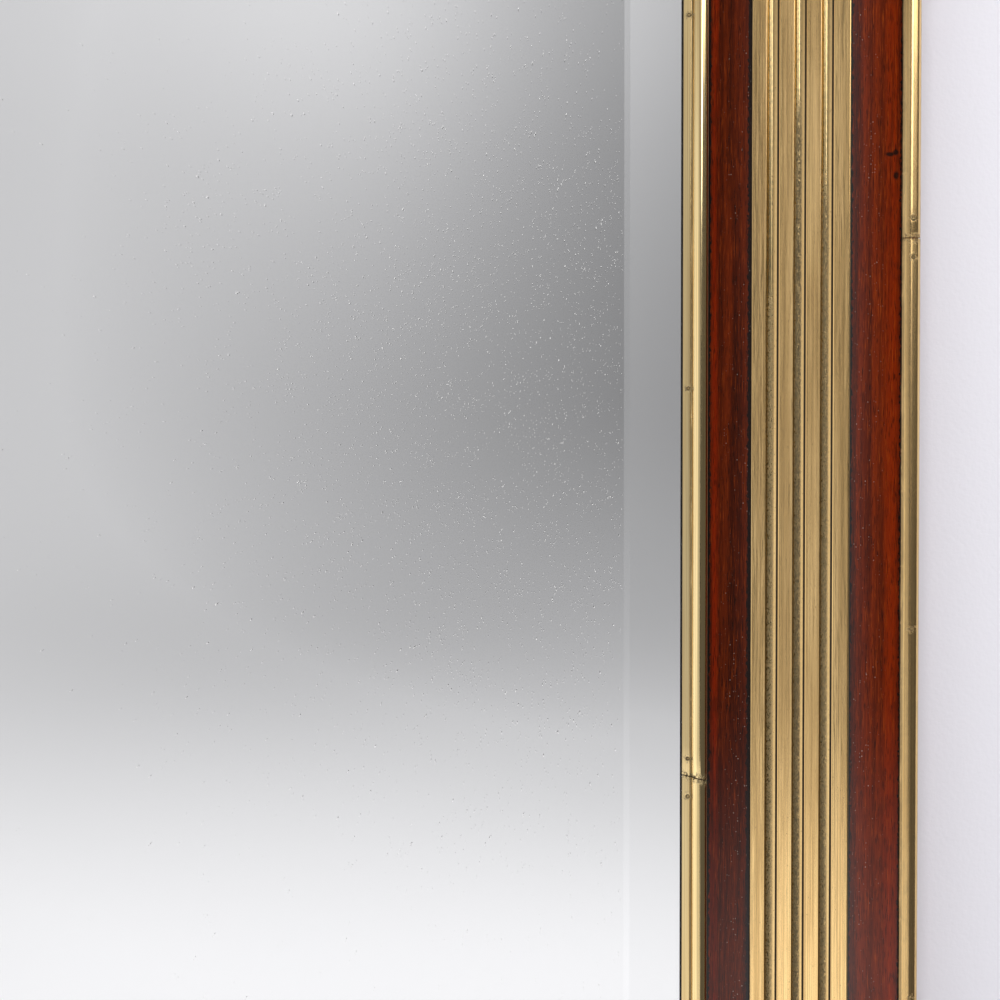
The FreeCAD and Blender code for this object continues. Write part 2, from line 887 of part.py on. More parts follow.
def make_boards():
    """Three upright boards, half-lapped where they meet with a gap for the wood to move."""
    half_z = half_height - frame_width + size.rebate_width + size.board_overlap
    edges = board_edges()
    middle = core_back / 2
    for number, name in enumerate(("left", "middle", "right")):
        body = new_body(f"back_board_{name}")
        left, right = edges[number], edges[number + 1]
        if number > 0:
            left = left + size.board_gap / 2
        if number < 2:
            right = right - size.board_gap / 2
        add_slab(body, rectangle(left, right, -half_z, half_z), core_back, size_of(0))
        if number < 2:
            tongue = rectangle(right, right + size.board_lap, -half_z, half_z)
            add_slab(body, tongue, core_back, middle)
        if number > 0:
            past = half_z + size.overrun
            room = left + size.board_lap
            cut_slab(body, [rectangle(left - size.overrun, room, -past, past)], core_back, middle)
        low, high = edges[number].value, edges[number + 1].value
        own = [place for place in board_nail_places() if low < place[0].value < high]
        drill(body, own, size.nail_radius + size.drill_clearance, size_of(0), core_back)
        recess = size.nail_head_thickness
        drill(body, own, size.nail_head_radius + size.drill_clearance, size_of(0), -recess)


def make_nails():
    nails = []
    for x, z in board_nail_places():
        shank_end = size.nail_head_thickness - size.nail_length
        shank = rod("shank", (x, -size.nail_length, z), size.nail_radius, -shank_end)
        head = rod("head", (x, -size.nail_head_thickness, z), size.nail_head_radius, size.nail_head_thickness)
        nails.append(joined("nail", [shank, head]))
    group("back_board_nails", nails)


def make_strap(name, x):
    """A strap hanger: a flat tail with three sunk holes, rolled into a loop at its upper end."""
    body = new_body(f"hanger_strap_{name}", (x, core_back, pivot_height))
    half = size.strap_width / 2
    half_loop = size.loop_width / 2
    tail = size.strap_length
    neck = loop_radius + size.ring_bar_radius
    corners = [
        (half_loop, 0),
        (-half_loop, 0),
        (-half_loop, -neck),
        (-half, -neck - (half - half_loop)),
        (-half, half - tail),
        (half, half - tail, 0, -tail),
        (half, -neck - (half - half_loop)),
        (half_loop, -neck),
    ]
    corners = [tuple(size_of(length) for length in corner) for corner in corners]
    add_slab(body, corners, size_of(0), size.strap_thickness)
    sketch = new_sketch(body, "YZ_Plane")
    draw_circles(sketch, [(loop_radius, 0)], loop_radius)
    extrude(body, "Pad", sketch, size.loop_width, symmetric=True)
    sketch = new_sketch(body, "YZ_Plane")
    draw_circles(sketch, [(loop_radius, 0)], size.loop_bore_radius)
    extrude(body, "Pocket", sketch, size.loop_width + size.overrun, symmetric=True)
    places = [(size_of(0), height - pivot_height) for height in screw_heights()]
    drill(body, places, size.screw_radius + size.drill_clearance, size_of(0), size.strap_thickness)
    clearance = size.drill_clearance
    for sunk_x, sunk_z in places:
        cone = body.newObject("PartDesign::SubtractiveCone", "sink")
        bind(cone, "Radius1", size.screw_radius + clearance)
        bind(cone, "Radius2", size.screw_head_radius + clearance)
        bind(cone, "Height", size.screw_head_depth)
        cone.Placement = FreeCAD.Placement(
            FreeCAD.Vector(), FreeCAD.Rotation(FreeCAD.Vector(1, 0, 0), -90)
        )
        bind(cone, "Placement.Base.x", sunk_x)
        bind(cone, "Placement.Base.y", size.strap_thickness - size.screw_head_depth)
        bind(cone, "Placement.Base.z", sunk_z)


def make_ring(name, x):
    """A pear-shaped ring with a round eye, whose bar turns in the strap's loop."""
    body = new_body(f"hanger_ring_{name}", (x, pivot_depth, pivot_height))
    bar = size.ring_bar_radius
    neck = size.loop_width / 2 + size.ring_side_gap
    shoulder = neck + size.ring_rim_width
    eye = size.ring_drop
    rim = size.ring_eye_radius + size.ring_rim_width
    add_slab(body, rectangle(-shoulder, shoulder, -eye, size_of(0)), -bar, bar)
    sketch = new_sketch(body, "XZ_Plane")
    draw_circles(sketch, [(0, -eye)], rim)
    extrude(body, "Pad", sketch, bar * 2, symmetric=True)
    sketch = new_sketch(body, "XZ_Plane")
    draw(sketch, rectangle(-neck, neck, -eye, size.overrun))
    extrude(body, "Pocket", sketch, bar * 2 + size.overrun, symmetric=True)
    sketch = new_sketch(body, "XZ_Plane")
    draw_circles(sketch, [(0, -eye)], size.ring_eye_radius)
    extrude(body, "Pocket", sketch, bar * 2 + size.overrun, symmetric=True)
    sketch = new_sketch(body, "YZ_Plane")
    draw_circles(sketch, [(0, 0)], bar)
    extrude(body, "Pad", sketch, shoulder * 2, symmetric=True)


def make_screws():
    """Slotted countersunk screws, heads level with the straps."""
    screws = []
    face = core_back + size.strap_thickness
    for x in (-hanger_across, hanger_across):
        for z in screw_heights():
            tip = face - size.screw_length
            point = taper("point", (x, tip, z), size_of(0), size.screw_radius, size.screw_tip_length)
            shank_start = tip + size.screw_tip_length
            shank = rod("shank", (x, shank_start, z), size.screw_radius, face - shank_start)
            head_start = face - size.screw_head_depth
            head = taper("head", (x, head_start, z), size.screw_radius, size.screw_head_radius, face - head_start)
            whole = joined("screw", [point, shank, head])
            half_slot = size.screw_slot_width / 2
            reach = size.screw_head_radius + size.overrun
            slot = box(
                "slot",
                (x - reach, face - size.screw_slot_depth, z - half_slot),
                (x + reach, face + size.overrun, z + half_slot),
            )
            screws.append(less("slotted_screw", whole, slot))
    group("hanger_screws", screws)


def check_objects():
    """Stops with the name of any object that failed, so that nothing broken is written."""
    for thing in doc.Objects:
        if "Invalid" in thing.State or "Error" in thing.State:
            raise RuntimeError(f"{thing.Name} failed: {thing.State}")
    for thing in nodes:
        if thing.Shape.isNull() or not thing.Shape.isValid():
            raise RuntimeError(f"{thing.Label} has no valid shape")


for frame_side in STILES:
    make_stile(frame_side)
for frame_side in RAILS:
    make_rail(frame_side)
make_pegs()
for frame_side in SIDES:
    make_inner_bead(frame_side)
    make_band("inner_band", frame_side, inner_band_start, size.inner_band_width)
    make_mitred("panel_core", frame_side, panel_core_section())
    make_mitred("fluted_panel", frame_side, fluted_panel_section())
    make_band("outer_band", frame_side, outer_band_start, size.outer_band_width)
    make_outer_bead(frame_side)
make_pins("inner_bead_pins", inner_joint, inner_pin_line, size.inner_fillet_rise, size.inner_pin_length)
make_pins("outer_bead_pins", outer_joint, outer_pin_line, size.outer_crest_rise, size.outer_pin_length)
make_plate()
make_silvering()
make_wedges()
make_blocks()
make_boards()
make_nails()
for hanger_name, hanger_x in (("left", -hanger_across), ("right", hanger_across)):
    make_strap(hanger_name, hanger_x)
    make_ring(hanger_name, hanger_x)
make_screws()

doc.recompute()
check_objects()
os.makedirs("parts", exist_ok=True)
for node in nodes:
    node.Shape.exportStep(f"parts/{node.Label}.step")
print(f"wrote {len(nodes)} nodes")
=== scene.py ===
"""A wall mirror in a mahogany and brass frame, hung on a pale wall."""

import math

import bmesh
import bpy
from mathutils import Matrix, Vector


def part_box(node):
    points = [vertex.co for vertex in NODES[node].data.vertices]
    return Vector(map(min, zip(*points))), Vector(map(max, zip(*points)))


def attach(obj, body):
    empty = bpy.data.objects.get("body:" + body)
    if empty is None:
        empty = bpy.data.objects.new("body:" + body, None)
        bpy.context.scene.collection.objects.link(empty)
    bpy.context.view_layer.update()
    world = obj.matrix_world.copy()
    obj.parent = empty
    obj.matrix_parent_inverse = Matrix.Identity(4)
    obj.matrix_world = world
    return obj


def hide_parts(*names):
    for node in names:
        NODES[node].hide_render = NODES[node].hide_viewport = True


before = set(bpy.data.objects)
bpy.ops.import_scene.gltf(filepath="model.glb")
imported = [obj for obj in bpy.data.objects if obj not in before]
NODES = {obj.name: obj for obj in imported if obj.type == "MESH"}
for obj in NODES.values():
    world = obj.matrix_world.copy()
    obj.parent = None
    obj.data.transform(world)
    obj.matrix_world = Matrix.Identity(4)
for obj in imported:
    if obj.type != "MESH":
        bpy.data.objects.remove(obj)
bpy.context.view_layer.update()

MM = 0.001

# The frame's own places, in millimetres: half the sight opening, the frame's width out from the sight edge,
# the front of its wooden core, and the flutes
SIGHT_HALF_WIDTH = 349.9
SIGHT_HALF_HEIGHT = 549.9
FRAME_WIDTH = 100.1
CORE_FRONT = -30.0
FLUTE_STARTS = (35.35, 46.75, 58.15)
FLUTE_WIDTH = 5.3

# Points of a mesh that are nearer to each other than this become one, and those of a turned piece
WELD = 0.002 * MM
TURNED_WELD = 0.003 * MM
# How far a pattern is moved from one side of the frame to the next
SIDE_SHIFT = 31.7


def apart(*offsets):
    """The distance that offsets square to each other add up to."""
    squares = [offset * offset for offset in offsets]
    return sum(squares[1:], squares[0]) ** 0.5


def bell(*offsets):
    """1 where all the offsets are 0, falling softly away to 0 all round."""
    squares = [offset * offset for offset in offsets]
    return (-sum(squares[1:], squares[0])).sum("EXPONENT")


def placed(name, data):
    """A new object in the scene."""
    thing = bpy.data.objects.new(name, data)
    bpy.context.scene.collection.objects.link(thing)
    return thing


def by_node(operation):
    """A method that does one kind of sum with a node."""
    return lambda value, *others: value.sum(operation, *others)


class Value:
    """A socket that plain sums can be done on; each sum adds the node that works it out."""

    __add__ = __radd__ = by_node("ADD")
    __sub__ = by_node("SUBTRACT")
    __mul__ = __rmul__ = by_node("MULTIPLY")
    __truediv__ = by_node("DIVIDE")
    __pow__ = by_node("POWER")
    __abs__ = by_node("ABSOLUTE")
    __gt__ = by_node("GREATER_THAN")
    most = by_node("MAXIMUM")

    def __init__(self, tree, socket):
        self.tree = tree
        self.socket = socket

    def sum(self, operation, *others):
        return self.tree.sum(operation, self, *others)

    def __rsub__(self, other):
        return self.tree.sum("SUBTRACT", other, self)

    def __neg__(self):
        return self * -1.0

    def between(self, low, high):
        """0 below low, 1 above high, and an even S between them; low may be the larger."""
        sockets = {"Value": self, "From Min": low, "From Max": high}
        return self.tree.node("ShaderNodeMapRange", sockets, interpolation_type="SMOOTHSTEP")

    def near(self, middle, reach):
        """1 at middle, falling to 0 at reach to either side of it."""
        return abs(self - middle).between(reach, 0.0)


class Tree:
    """A node tree that is built by naming what each node does."""

    def __init__(self, tree):
        self.tree = tree
        tree.nodes.clear()

    def feed(self, socket, item):
        if isinstance(item, Value):
            self.tree.links.new(item.socket, socket)
        elif isinstance(item, (tuple, list)) and len(item) == 3 and socket.type == "RGBA":
            socket.default_value = (*item, 1.0)
        else:
            socket.default_value = item

    def find(self, sockets, key):
        if isinstance(key, int):
            return sockets[key]
        return next(s for s in sockets if s.enabled and key in (s.identifier, s.name))

    def node(self, kind, sockets=None, outlet=0, **settings):
        """One node: its settings first, which its sockets depend on, then their values or links."""
        node = self.tree.nodes.new(kind)
        for name, value in settings.items():
            setattr(node, name, value)
        for key, item in (sockets or {}).items():
            self.feed(self.find(node.inputs, key), item)
        return Value(self, self.find(node.outputs, outlet)) if node.outputs else node

    def sum(self, operation, *items):
        return self.node("ShaderNodeMath", dict(enumerate(items)), operation=operation)

    def vector(self, x, y, z):
        return self.node("ShaderNodeCombineXYZ", {"X": x, "Y": y, "Z": z})

    def parts(self, vector):
        node = self.node("ShaderNodeSeparateXYZ", {"Vector": vector}).socket.node
        return [Value(self, socket) for socket in node.outputs]

    def blend(self, factor, first, second):
        """One colour turning into another."""
        sockets = {"Factor_Float": factor, "A_Color": first, "B_Color": second}
        return self.node("ShaderNodeMix", sockets, "Result_Color", data_type="RGBA", clamp_factor=True)

    def noise(self, place, detail=2.0, roughness=0.5):
        sockets = {"Vector": place, "Scale": 1.0, "Detail": detail, "Roughness": roughness}
        return self.node("ShaderNodeTexNoise", sockets)

    def cells(self, place):
        """Distance to the nearest of some scattered points, and three numbers that differ between them."""
        node = self.node("ShaderNodeTexVoronoi", {"Vector": place, "Scale": 1.0})
        return node, self.parts(Value(self, node.socket.node.outputs["Color"]))


finishes = {}


class Finish(Tree):
    """A material whose pattern is worked out from the place on the mirror, in millimetres."""

    lift = 1.0

    def __init__(self, name):
        self.name = name
        self.material = bpy.data.materials.new(name)
        self.material.use_nodes = True
        super().__init__(self.material.node_tree)
        place = self.node("ShaderNodeTexCoord", outlet="Object")
        self.x, self.y, self.z = [part / MM for part in self.parts(place)]

    def on_stile(self):
        """Sets the distance out from the sight edge, the height above the core and the distance along; each
        upright side is the other turned half round."""
        self.out = abs(self.x) - SIGHT_HALF_WIDTH
        self.along = self.z * self.x.sum("SIGN")
        self.far_side = self.x.between(-1.0, 1.0)
        self.height = CORE_FRONT - self.y

    def on_rail(self):
        self.out = abs(self.z) - SIGHT_HALF_HEIGHT
        self.along = self.x
        self.far_side = self.z.between(-1.0, 1.0) + 2.0
        self.height = CORE_FRONT - self.y

    def drawn(self, wide, long):
        """A place whose pattern is so wide across and so long along a side, and differs from side to side."""
        forward = self.height * self.lift / wide + self.far_side * SIDE_SHIFT
        return self.vector(self.out / wide, forward, self.along / long)

    def bump(self, height, depth, under=None):
        """A bump whose height, from 0 to 1, stands for a depth in millimetres."""
        sockets = {"Strength": 1.0, "Distance": depth * MM, "Height": height}
        if under is not None:
            sockets["Normal"] = under
        return self.node("ShaderNodeBump", sockets)

    def surface(self, sockets):
        """Ends a material of one surface and keeps it by its name."""
        self.output(self.node("ShaderNodeBsdfPrincipled", sockets))
        finishes[self.name] = self.material

    def output(self, shader):
        self.node("ShaderNodeOutputMaterial", {"Surface": shader})


class Shape(Tree):
    """A geometry tree with named inputs, run on a piece's own mesh and turned into a plain mesh."""

    KINDS = {
        float: "NodeSocketFloat",
        int: "NodeSocketInt",
        "object": "NodeSocketObject",
        "finish": "NodeSocketMaterial",
    }

    def __init__(self, name, inputs):
        self.group = bpy.data.node_groups.new(name, "GeometryNodeTree")
        super().__init__(self.group)
        self.group.interface.new_socket("Geometry", in_out="INPUT", socket_type="NodeSocketGeometry")
        self.group.interface.new_socket("Geometry", in_out="OUTPUT", socket_type="NodeSocketGeometry")
        self.places = {}
        for label, kind in inputs:
            socket = self.group.interface.new_socket(label, in_out="INPUT", socket_type=self.KINDS[kind])
            self.places[label] = socket.identifier
        self.start = self.group.nodes.new("NodeGroupInput")

    def given(self, label):
        return Value(self, self.start.outputs[label])

    def kept(self, geometry, label, value, kind="FLOAT"):
        """Writes a value on each point, for use after the next step."""
        sockets = {"Geometry": geometry, "Name": label, "Value": value}
        return self.node("GeometryNodeStoreNamedAttribute", sockets, data_type=kind, domain="POINT")

    def read(self, label, kind="FLOAT"):
        return self.node("GeometryNodeInputNamedAttribute", {"Name": label}, "Attribute", data_type=kind)

    def sweep(self, line, mesh, caps):
        """Draws a mesh's outline along a line, and gives each point's place in it and share of the line."""
        outline = self.node("GeometryNodeMeshToCurve", {"Mesh": mesh})
        outline = self.kept(outline, "place", self.node("GeometryNodeInputPosition"), "FLOAT_VECTOR")
        line = self.kept(line, "share", self.node("GeometryNodeSplineParameter"))
        sockets = {"Curve": line, "Profile Curve": outline, "Fill Caps": caps}
        swept = self.node("GeometryNodeCurveToMesh", sockets)
        across, height, _ = self.parts(self.read("place", "FLOAT_VECTOR"))
        return swept, across, height, self.read("share")

    def ends_with(self, geometry):
        whole = self.node("GeometryNodeRealizeInstances", {"Geometry": geometry})
        finished = self.node("GeometryNodeSetMaterial", {"Geometry": whole, "Material": self.given("Finish")})
        self.node("NodeGroupOutput", {"Geometry": finished})

    def make(self, name, mesh, settings, place=Matrix()):
        """Runs the tree on a mesh and leaves a plain mesh object at the origin, its faces outwards."""
        piece = placed(name, mesh)
        modifier = piece.modifiers.new(self.group.name, "NODES")
        modifier.node_group = self.group
        for label, value in settings.items():
            modifier[self.places[label]] = value
        graph = bpy.context.evaluated_depsgraph_get()
        made = bpy.data.meshes.new_from_object(piece.evaluated_get(graph), depsgraph=graph)
        piece.modifiers.remove(modifier)
        made.name = name
        made.transform(place)
        for layer in [layer for layer in made.attributes if layer.name in ("place", "share")]:
            made.attributes.remove(layer)
        piece.data = made
        face_outwards(made)
        return piece


def face_outwards(mesh, crease=38.0):
    """Turns every face outwards and smooths all but the sharp edges."""
    work = bmesh.new()
    work.from_mesh(mesh)
    bmesh.ops.remove_doubles(work, verts=work.verts, dist=WELD)
    bmesh.ops.recalc_face_normals(work, faces=work.faces)
    for face in work.faces:
        face.smooth = True
    work.to_mesh(mesh)
    work.free()
    mesh.set_sharp_from_angle(angle=math.radians(crease))


def outline_mesh(name, points, near_end=0.1, long_straight=0.9):
    """A closed line of edges, from points in millimetres, with a point near both ends of each long straight,
    so that a flat is shaded flat."""
    held = []
    for start, end in zip(points, [*points[1:], points[0]]):
        length = math.dist(start, end)
        held.append(start)
        for place in (near_end, length - near_end) if length > long_straight else ():
            held.append(tuple(a + (b - a) * place / length for a, b in zip(start, end)))
    mesh = bpy.data.meshes.new(name)
    edges = [(number, (number + 1) % len(held)) for number in range(len(held))]
    mesh.from_pydata([(a * MM, b * MM, 0.0) for a, b in held], edges, [])
    return mesh


def rectangle(low_x, low_z, high_x, high_z, y):
    """The corners of an upright rectangle, in the order that turns it forwards."""
    return [(low_x, y, low_z), (high_x, y, low_z), (high_x, y, high_z), (low_x, y, high_z)]


def new_piece(name, points, finish, faces=((0, 1, 2, 3),)):
    mesh = bpy.data.meshes.new(name)
    mesh.from_pydata(points, [], faces)
    mesh.materials.append(finish)
    return placed(name, mesh)


def belongs(piece, slot, *nodes):
    """Hangs a piece of the fixed frame on its body, in place of the nodes it stands for."""
    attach(piece, "frame")
    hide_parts(*nodes)


# Finishes: single colours in linear light, and the blacking in the rebate
# Dull brass: tarnish, and in the flutes painted shade as well
DULLED_AND_SHADED_BRASS = (0.38, 0.29, 0.14)
PIT_BROWN = (0.16, 0.10, 0.05)
# The colour of dirt, and of painted shade in the brass's creases and at its edges
BRASS_DIRT_AND_SHADE = (0.012, 0.008, 0.005)
PORE_BLACK = (0.010, 0.003, 0.001)
# The colour of painted shade, with some dirt, where the wood meets the brass
WOOD_SHADE_AND_DIRT = (0.010, 0.006, 0.004)
KNOT_BLACK = (0.010, 0.004, 0.002)
POLISH_DUST = (0.66, 0.54, 0.47)
REBATE_BLACK = (0.004, 0.004, 0.004)
# How far out the blacking goes, and down to what height above the core
BLACKED_OUT = 9.1
BLACKED_DOWN = -11.0


def brass_finish(name, run, metal, grime_and_shade, smooth, hollows, joint=None, pin_line=None):
    """Drawn brass: drawing lines along its length, cloudy tarnish, small pits, and dirt and painted shade in
    its creases.

    metal is its clean, dull and streak colours. grime lists (place across, reach, strength) of dark lines in
    its
    creases and where it meets the wood: dirt and painted shade. smooth is how blurred its shine is at the
    least.
    hollows gives how dull each place is, from tarnish where a polishing cloth misses and in places painted
    shade, and how dark it is from dirt and painted shade. joint is (place along, slant, middle across) of the
    line where two lengths meet on a stile, with a stain round it. pin_line is how far across its pins lie.
    """
    brass = Finish(name)
    brass.lift = 0.1
    run(brass)
    line = brass.noise(brass.drawn(0.45, 130), 2.0, 0.6)
    band = brass.noise(brass.drawn(1.3, 160), 2.0, 0.5)
    cloud = brass.noise(brass.drawn(6, 110), 3.0, 0.6)
    patch = brass.noise(brass.drawn(2.5, 26), 2.0, 0.6)
    mottle = brass.noise(brass.drawn(0.9, 1.6), 3.0, 0.65)
    dot, dot_mix = brass.cells(brass.drawn(1.5, 1.9))
    dots = dot.between(0.16, 0.07) * dot_mix[1].between(0.62, 0.74)
    # Dirt and painted shade in the creases and where the brass meets the wood
    dirt_and_shade = 0.0
    for middle, reach, strength in grime_and_shade:
        dirt_and_shade = (brass.out.near(middle, reach) * strength).most(dirt_and_shade)
    dirt_and_shade = dirt_and_shade * mottle.between(0.15, 0.45) * patch.between(0.2, 0.5)
    colour = brass.blend(cloud.between(0.35, 0.68) * 0.8, metal[0], metal[1])
    colour = brass.blend(line.between(0.42, 0.75) * 0.55, colour, metal[2])
    colour = brass.blend(band.between(0.48, 0.72) * 0.3, colour, metal[2])
    rough = smooth + line * 0.05 + cloud.between(0.4, 0.7) * 0.03
    relief = dots * -0.6
    # Each hollow gives how dull it is, and how dark it is from dirt and painted shade
    dull, black = hollows(brass)
    colour = brass.blend(dull * (0.6 + mottle.between(0.4, 0.65) * 0.4), colour, DULLED_AND_SHADED_BRASS)
    rough = rough + dull * 0.06
    relief = relief + mottle * dull * 0.5
    dirt_and_shade = dirt_and_shade.most(black)
    if run is Finish.on_stile and joint is not None:
        place, slant, middle = joint
        beside = abs(brass.along - place - (brass.out - middle) * slant)
        smudge = beside.between(3.2, 0.4) * mottle.between(0.42, 0.62)
        dirt_and_shade = dirt_and_shade.most(smudge * 0.8)
    if pin_line is not None:
        from_joint = abs(brass.along - joint[0]) - PIN_END if run is Finish.on_stile else brass.along
        beyond = (from_joint + PIN_SPACING / 2).sum("FLOORED_MODULO", PIN_SPACING) - PIN_SPACING / 2
        from_pin = apart(beyond, brass.out - pin_line)
        stain = from_pin.between(2.6, 1.2) * mottle.between(0.5, 0.62) * 0.7
        dirt_and_shade = dirt_and_shade.most(from_pin.near(0.72, 0.4) * 0.95).most(stain)
        relief = relief - from_pin.between(1.6, 0.4) * 1.2
    colour = brass.blend(dots * 0.5, colour, PIT_BROWN)
    colour = brass.blend(dirt_and_shade, colour, BRASS_DIRT_AND_SHADE)
    normal = brass.bump(line * 0.6 + band * 0.4, 0.006)
    normal = brass.bump(relief + patch * 0.8, 0.02, normal)
    brass.surface({
        "Base Color": colour,
        "Metallic": 1.0 - dirt_and_shade * 0.9,
        "Roughness": rough + dirt_and_shade * 0.75,
        "Normal": normal,
    })


def sight_edge(brass):
    """The inner bead's turned-down edge over the plate, darkened with painted shade in the gap over the
    plate.
    """
    return 0.0, brass.out.between(0.48, 0.32)


def flutes(brass):
    """Dull and darker on the wall of each flute that is nearer the plate: tarnish in the hollow, and painted
    shade on that side. A painted shade line lies at the foot of the other wall, and each bottom is darker
    past a place
    that differs from flute to flute: tarnish, and painted shade where its reflected highlight ends."""
    flute_spacing = FLUTE_STARTS[1] - FLUTE_STARTS[0]
    across_flute = (brass.out - FLUTE_STARTS[0]).sum("FLOORED_MODULO", flute_spacing)
    inside = brass.height.between(5.4, 5.1)
    # Dull over each flute from tarnish, and more on the wall nearer the plate as painted shade
    dull = inside * (0.4 + across_flute.between(3.4, 2.3) * 0.6)
    tarnish_and_shade = 0.0
    for start, place, strength in zip(FLUTE_STARTS, TARNISH_AND_SHADE_FROM, TARNISH_AND_SHADE):
        off_bottom = brass.out - start - FLUTE_WIDTH * TARNISH_AND_SHADE_MIDDLE
        bottom = off_bottom.between(-1.9, -1.3) * off_bottom.between(1.5, 0.7)
        tarnish_and_shade = tarnish_and_shade + bottom * brass.along.between(place + TARNISH_AND_SHADE_FADE, place - TARNISH_AND_SHADE_FADE) * strength
    speckle = brass.noise(brass.drawn(0.45, 0.9), 3.0, 0.7)
    tarnish_and_shade = inside * tarnish_and_shade * speckle.between(0.36, 0.56)
    # A painted shade line at the foot of the wall away from the plate
    foot = across_flute.between(4.3, 4.55) * brass.height.between(5.25, 5.05) * 0.95
    return dull, foot.most(tarnish_and_shade)


def rubbed(brass):
    """Dull patches where a cloth has rubbed less, and nothing black."""
    rub = brass.noise(brass.drawn(1.6, 7), 3.0, 0.65)
    return rub.between(0.46, 0.66) * 0.25, 0.0


def mahogany_finish(name, run, tones, painted_glow, shade_and_dirt, dust, knots=(), polish=0.85, polish_blur=0.05):
    """Polished mahogany: short dark pores along the grain, slow bands of colour, and dust in the polish.

    The glow, painted light as if thrown off the brass beside the wood, and the dust give where across they
    are strongest, their reach and their strength. The dark strips, (start, end, strength), lie where the wood
    meets
    the brass: painted shade, with some dirt. knots lists (across, along, half width, half length) of small
    knots in the right-hand side.
    """
    wood = Finish(name)
    run(wood)
    bend = wood.noise(wood.drawn(25, 190), 1.0)
    deep = wood.height / 3 + wood.far_side * SIDE_SHIFT
    band = wood.noise(wood.vector(wood.out / 2.6 + bend * 3.0, deep, wood.along / 170), 3.0, 0.55)
    fibre = wood.noise(wood.drawn(0.42, 11), 3.0, 0.7)
    figure = wood.noise(wood.drawn(3.4, 9), 3.0, 0.6)
    pores = wood.noise(wood.drawn(0.3, 5), 1.0).between(0.60, 0.70)
    colour = wood.blend(band.between(0.3, 0.7), tones[0], tones[1])
    # A painted glow: a redder, lighter strip beside the brass, as light thrown off it
    colour = wood.blend(wood.out.near(painted_glow[0], painted_glow[1]) * painted_glow[2] * band.between(0.2, 0.55), colour, tones[2])
    colour = wood.blend(fibre.between(0.52, 0.72) * 0.75, colour, tones[3])
    colour = wood.blend(fibre.between(0.46, 0.30) * 0.75, colour, tones[0])
    colour = wood.blend(figure.between(0.52, 0.70) * 0.45, colour, tones[0])
    colour = wood.blend(pores * 0.7, colour, PORE_BLACK)
    ragged = wood.noise(wood.drawn(0.9, 2.2), 3.0, 0.65) * 4.0 - 2.0
    uneven = wood.out + ragged
    # Dark strips where the wood meets the brass: painted shade, with some dirt
    for start, end, strength in shade_and_dirt:
        strip = uneven.between(start - 0.15, start + 0.2) * uneven.between(end + 0.15, end - 0.2)
        colour = wood.blend(strip * strength, colour, WOOD_SHADE_AND_DIRT)
    for across, along, half_width, half_length in knots:
        off_centre = apart((wood.out - across) / half_width, (wood.along - along) / half_length)
        knot = off_centre + ragged * 0.15
        colour = wood.blend(knot.between(1.15, 0.45) * wood.far_side * 0.9, colour, KNOT_BLACK)
    speck, speck_mix = wood.cells(wood.drawn(0.9, 1.15))
    cluster = wood.noise(wood.drawn(16, 30), 3.0, 0.65)
    specks = speck.between(0.08 + speck_mix[2] * 0.20, 0.05) * speck_mix[0].between(0.66, 0.74)
    specks = specks * cluster.between(0.40, 0.58) * wood.out.near(dust[0], dust[1]) * dust[2]
    colour = wood.blend(specks, colour, POLISH_DUST)
    normal = wood.bump(1.0 - pores * 0.6 + fibre * 0.25, 0.016)
    wood.surface({
        "Base Color": colour,
        "Roughness": 0.5 + fibre * 0.1,
        "Specular IOR Level": 0.0,
        "Coat Weight": polish,
        "Coat Roughness": polish_blur,
        "Normal": normal,
    })


def plain_finish(name, colour, roughness):
    """A matt finish that is a little darker in clouds."""
    plain = Finish(name)
    cloud = plain.noise(plain.vector(plain.x / 6, plain.y / 6, plain.z / 6), 3.0)
    shade = plain.blend(cloud, colour, tuple(part * 0.7 for part in colour))
    plain.surface({"Base Color": shade, "Roughness": roughness})


def old_metal_finish(name, bright, tarnish, smooth):
    """Handled metal: rubbed bright in places and tarnished in others, with fine scratches and a few pits."""
    metal = Finish(name)
    cloud = metal.noise(metal.vector(metal.x / 7, metal.y / 7, metal.z / 9), 3.0, 0.6)
    fine = metal.noise(metal.vector(metal.x / 0.9, metal.y / 0.9, metal.z / 1.3), 3.0, 0.65)
    scratch = metal.noise(metal.vector(metal.x / 0.25, metal.y / 0.25, metal.z / 6), 2.0, 0.6)
    pit, pit_mix = metal.cells(metal.vector(metal.x / 1.4, metal.y / 1.4, metal.z / 1.4))
    pits = pit.between(0.22, 0.10) * pit_mix[0].between(0.70, 0.80)
    dull = (cloud * 0.65 + fine * 0.35).between(0.40, 0.62)
    colour = metal.blend(dull * 0.85, bright, tarnish)
    colour = metal.blend(scratch.between(0.55, 0.75) * 0.35, colour, bright)
    colour = metal.blend(pits * 0.7, colour, tuple(part * 0.4 for part in tarnish))
    relief = metal.bump(fine * 0.5 + scratch * 0.3 - pits * 1.2, 0.03)
    metal.surface({
        "Base Color": colour,
        "Metallic": 1.0 - dull * 0.15,
        "Roughness": smooth + dull * 0.22 + pits * 0.2,
        "Normal": relief,
    })


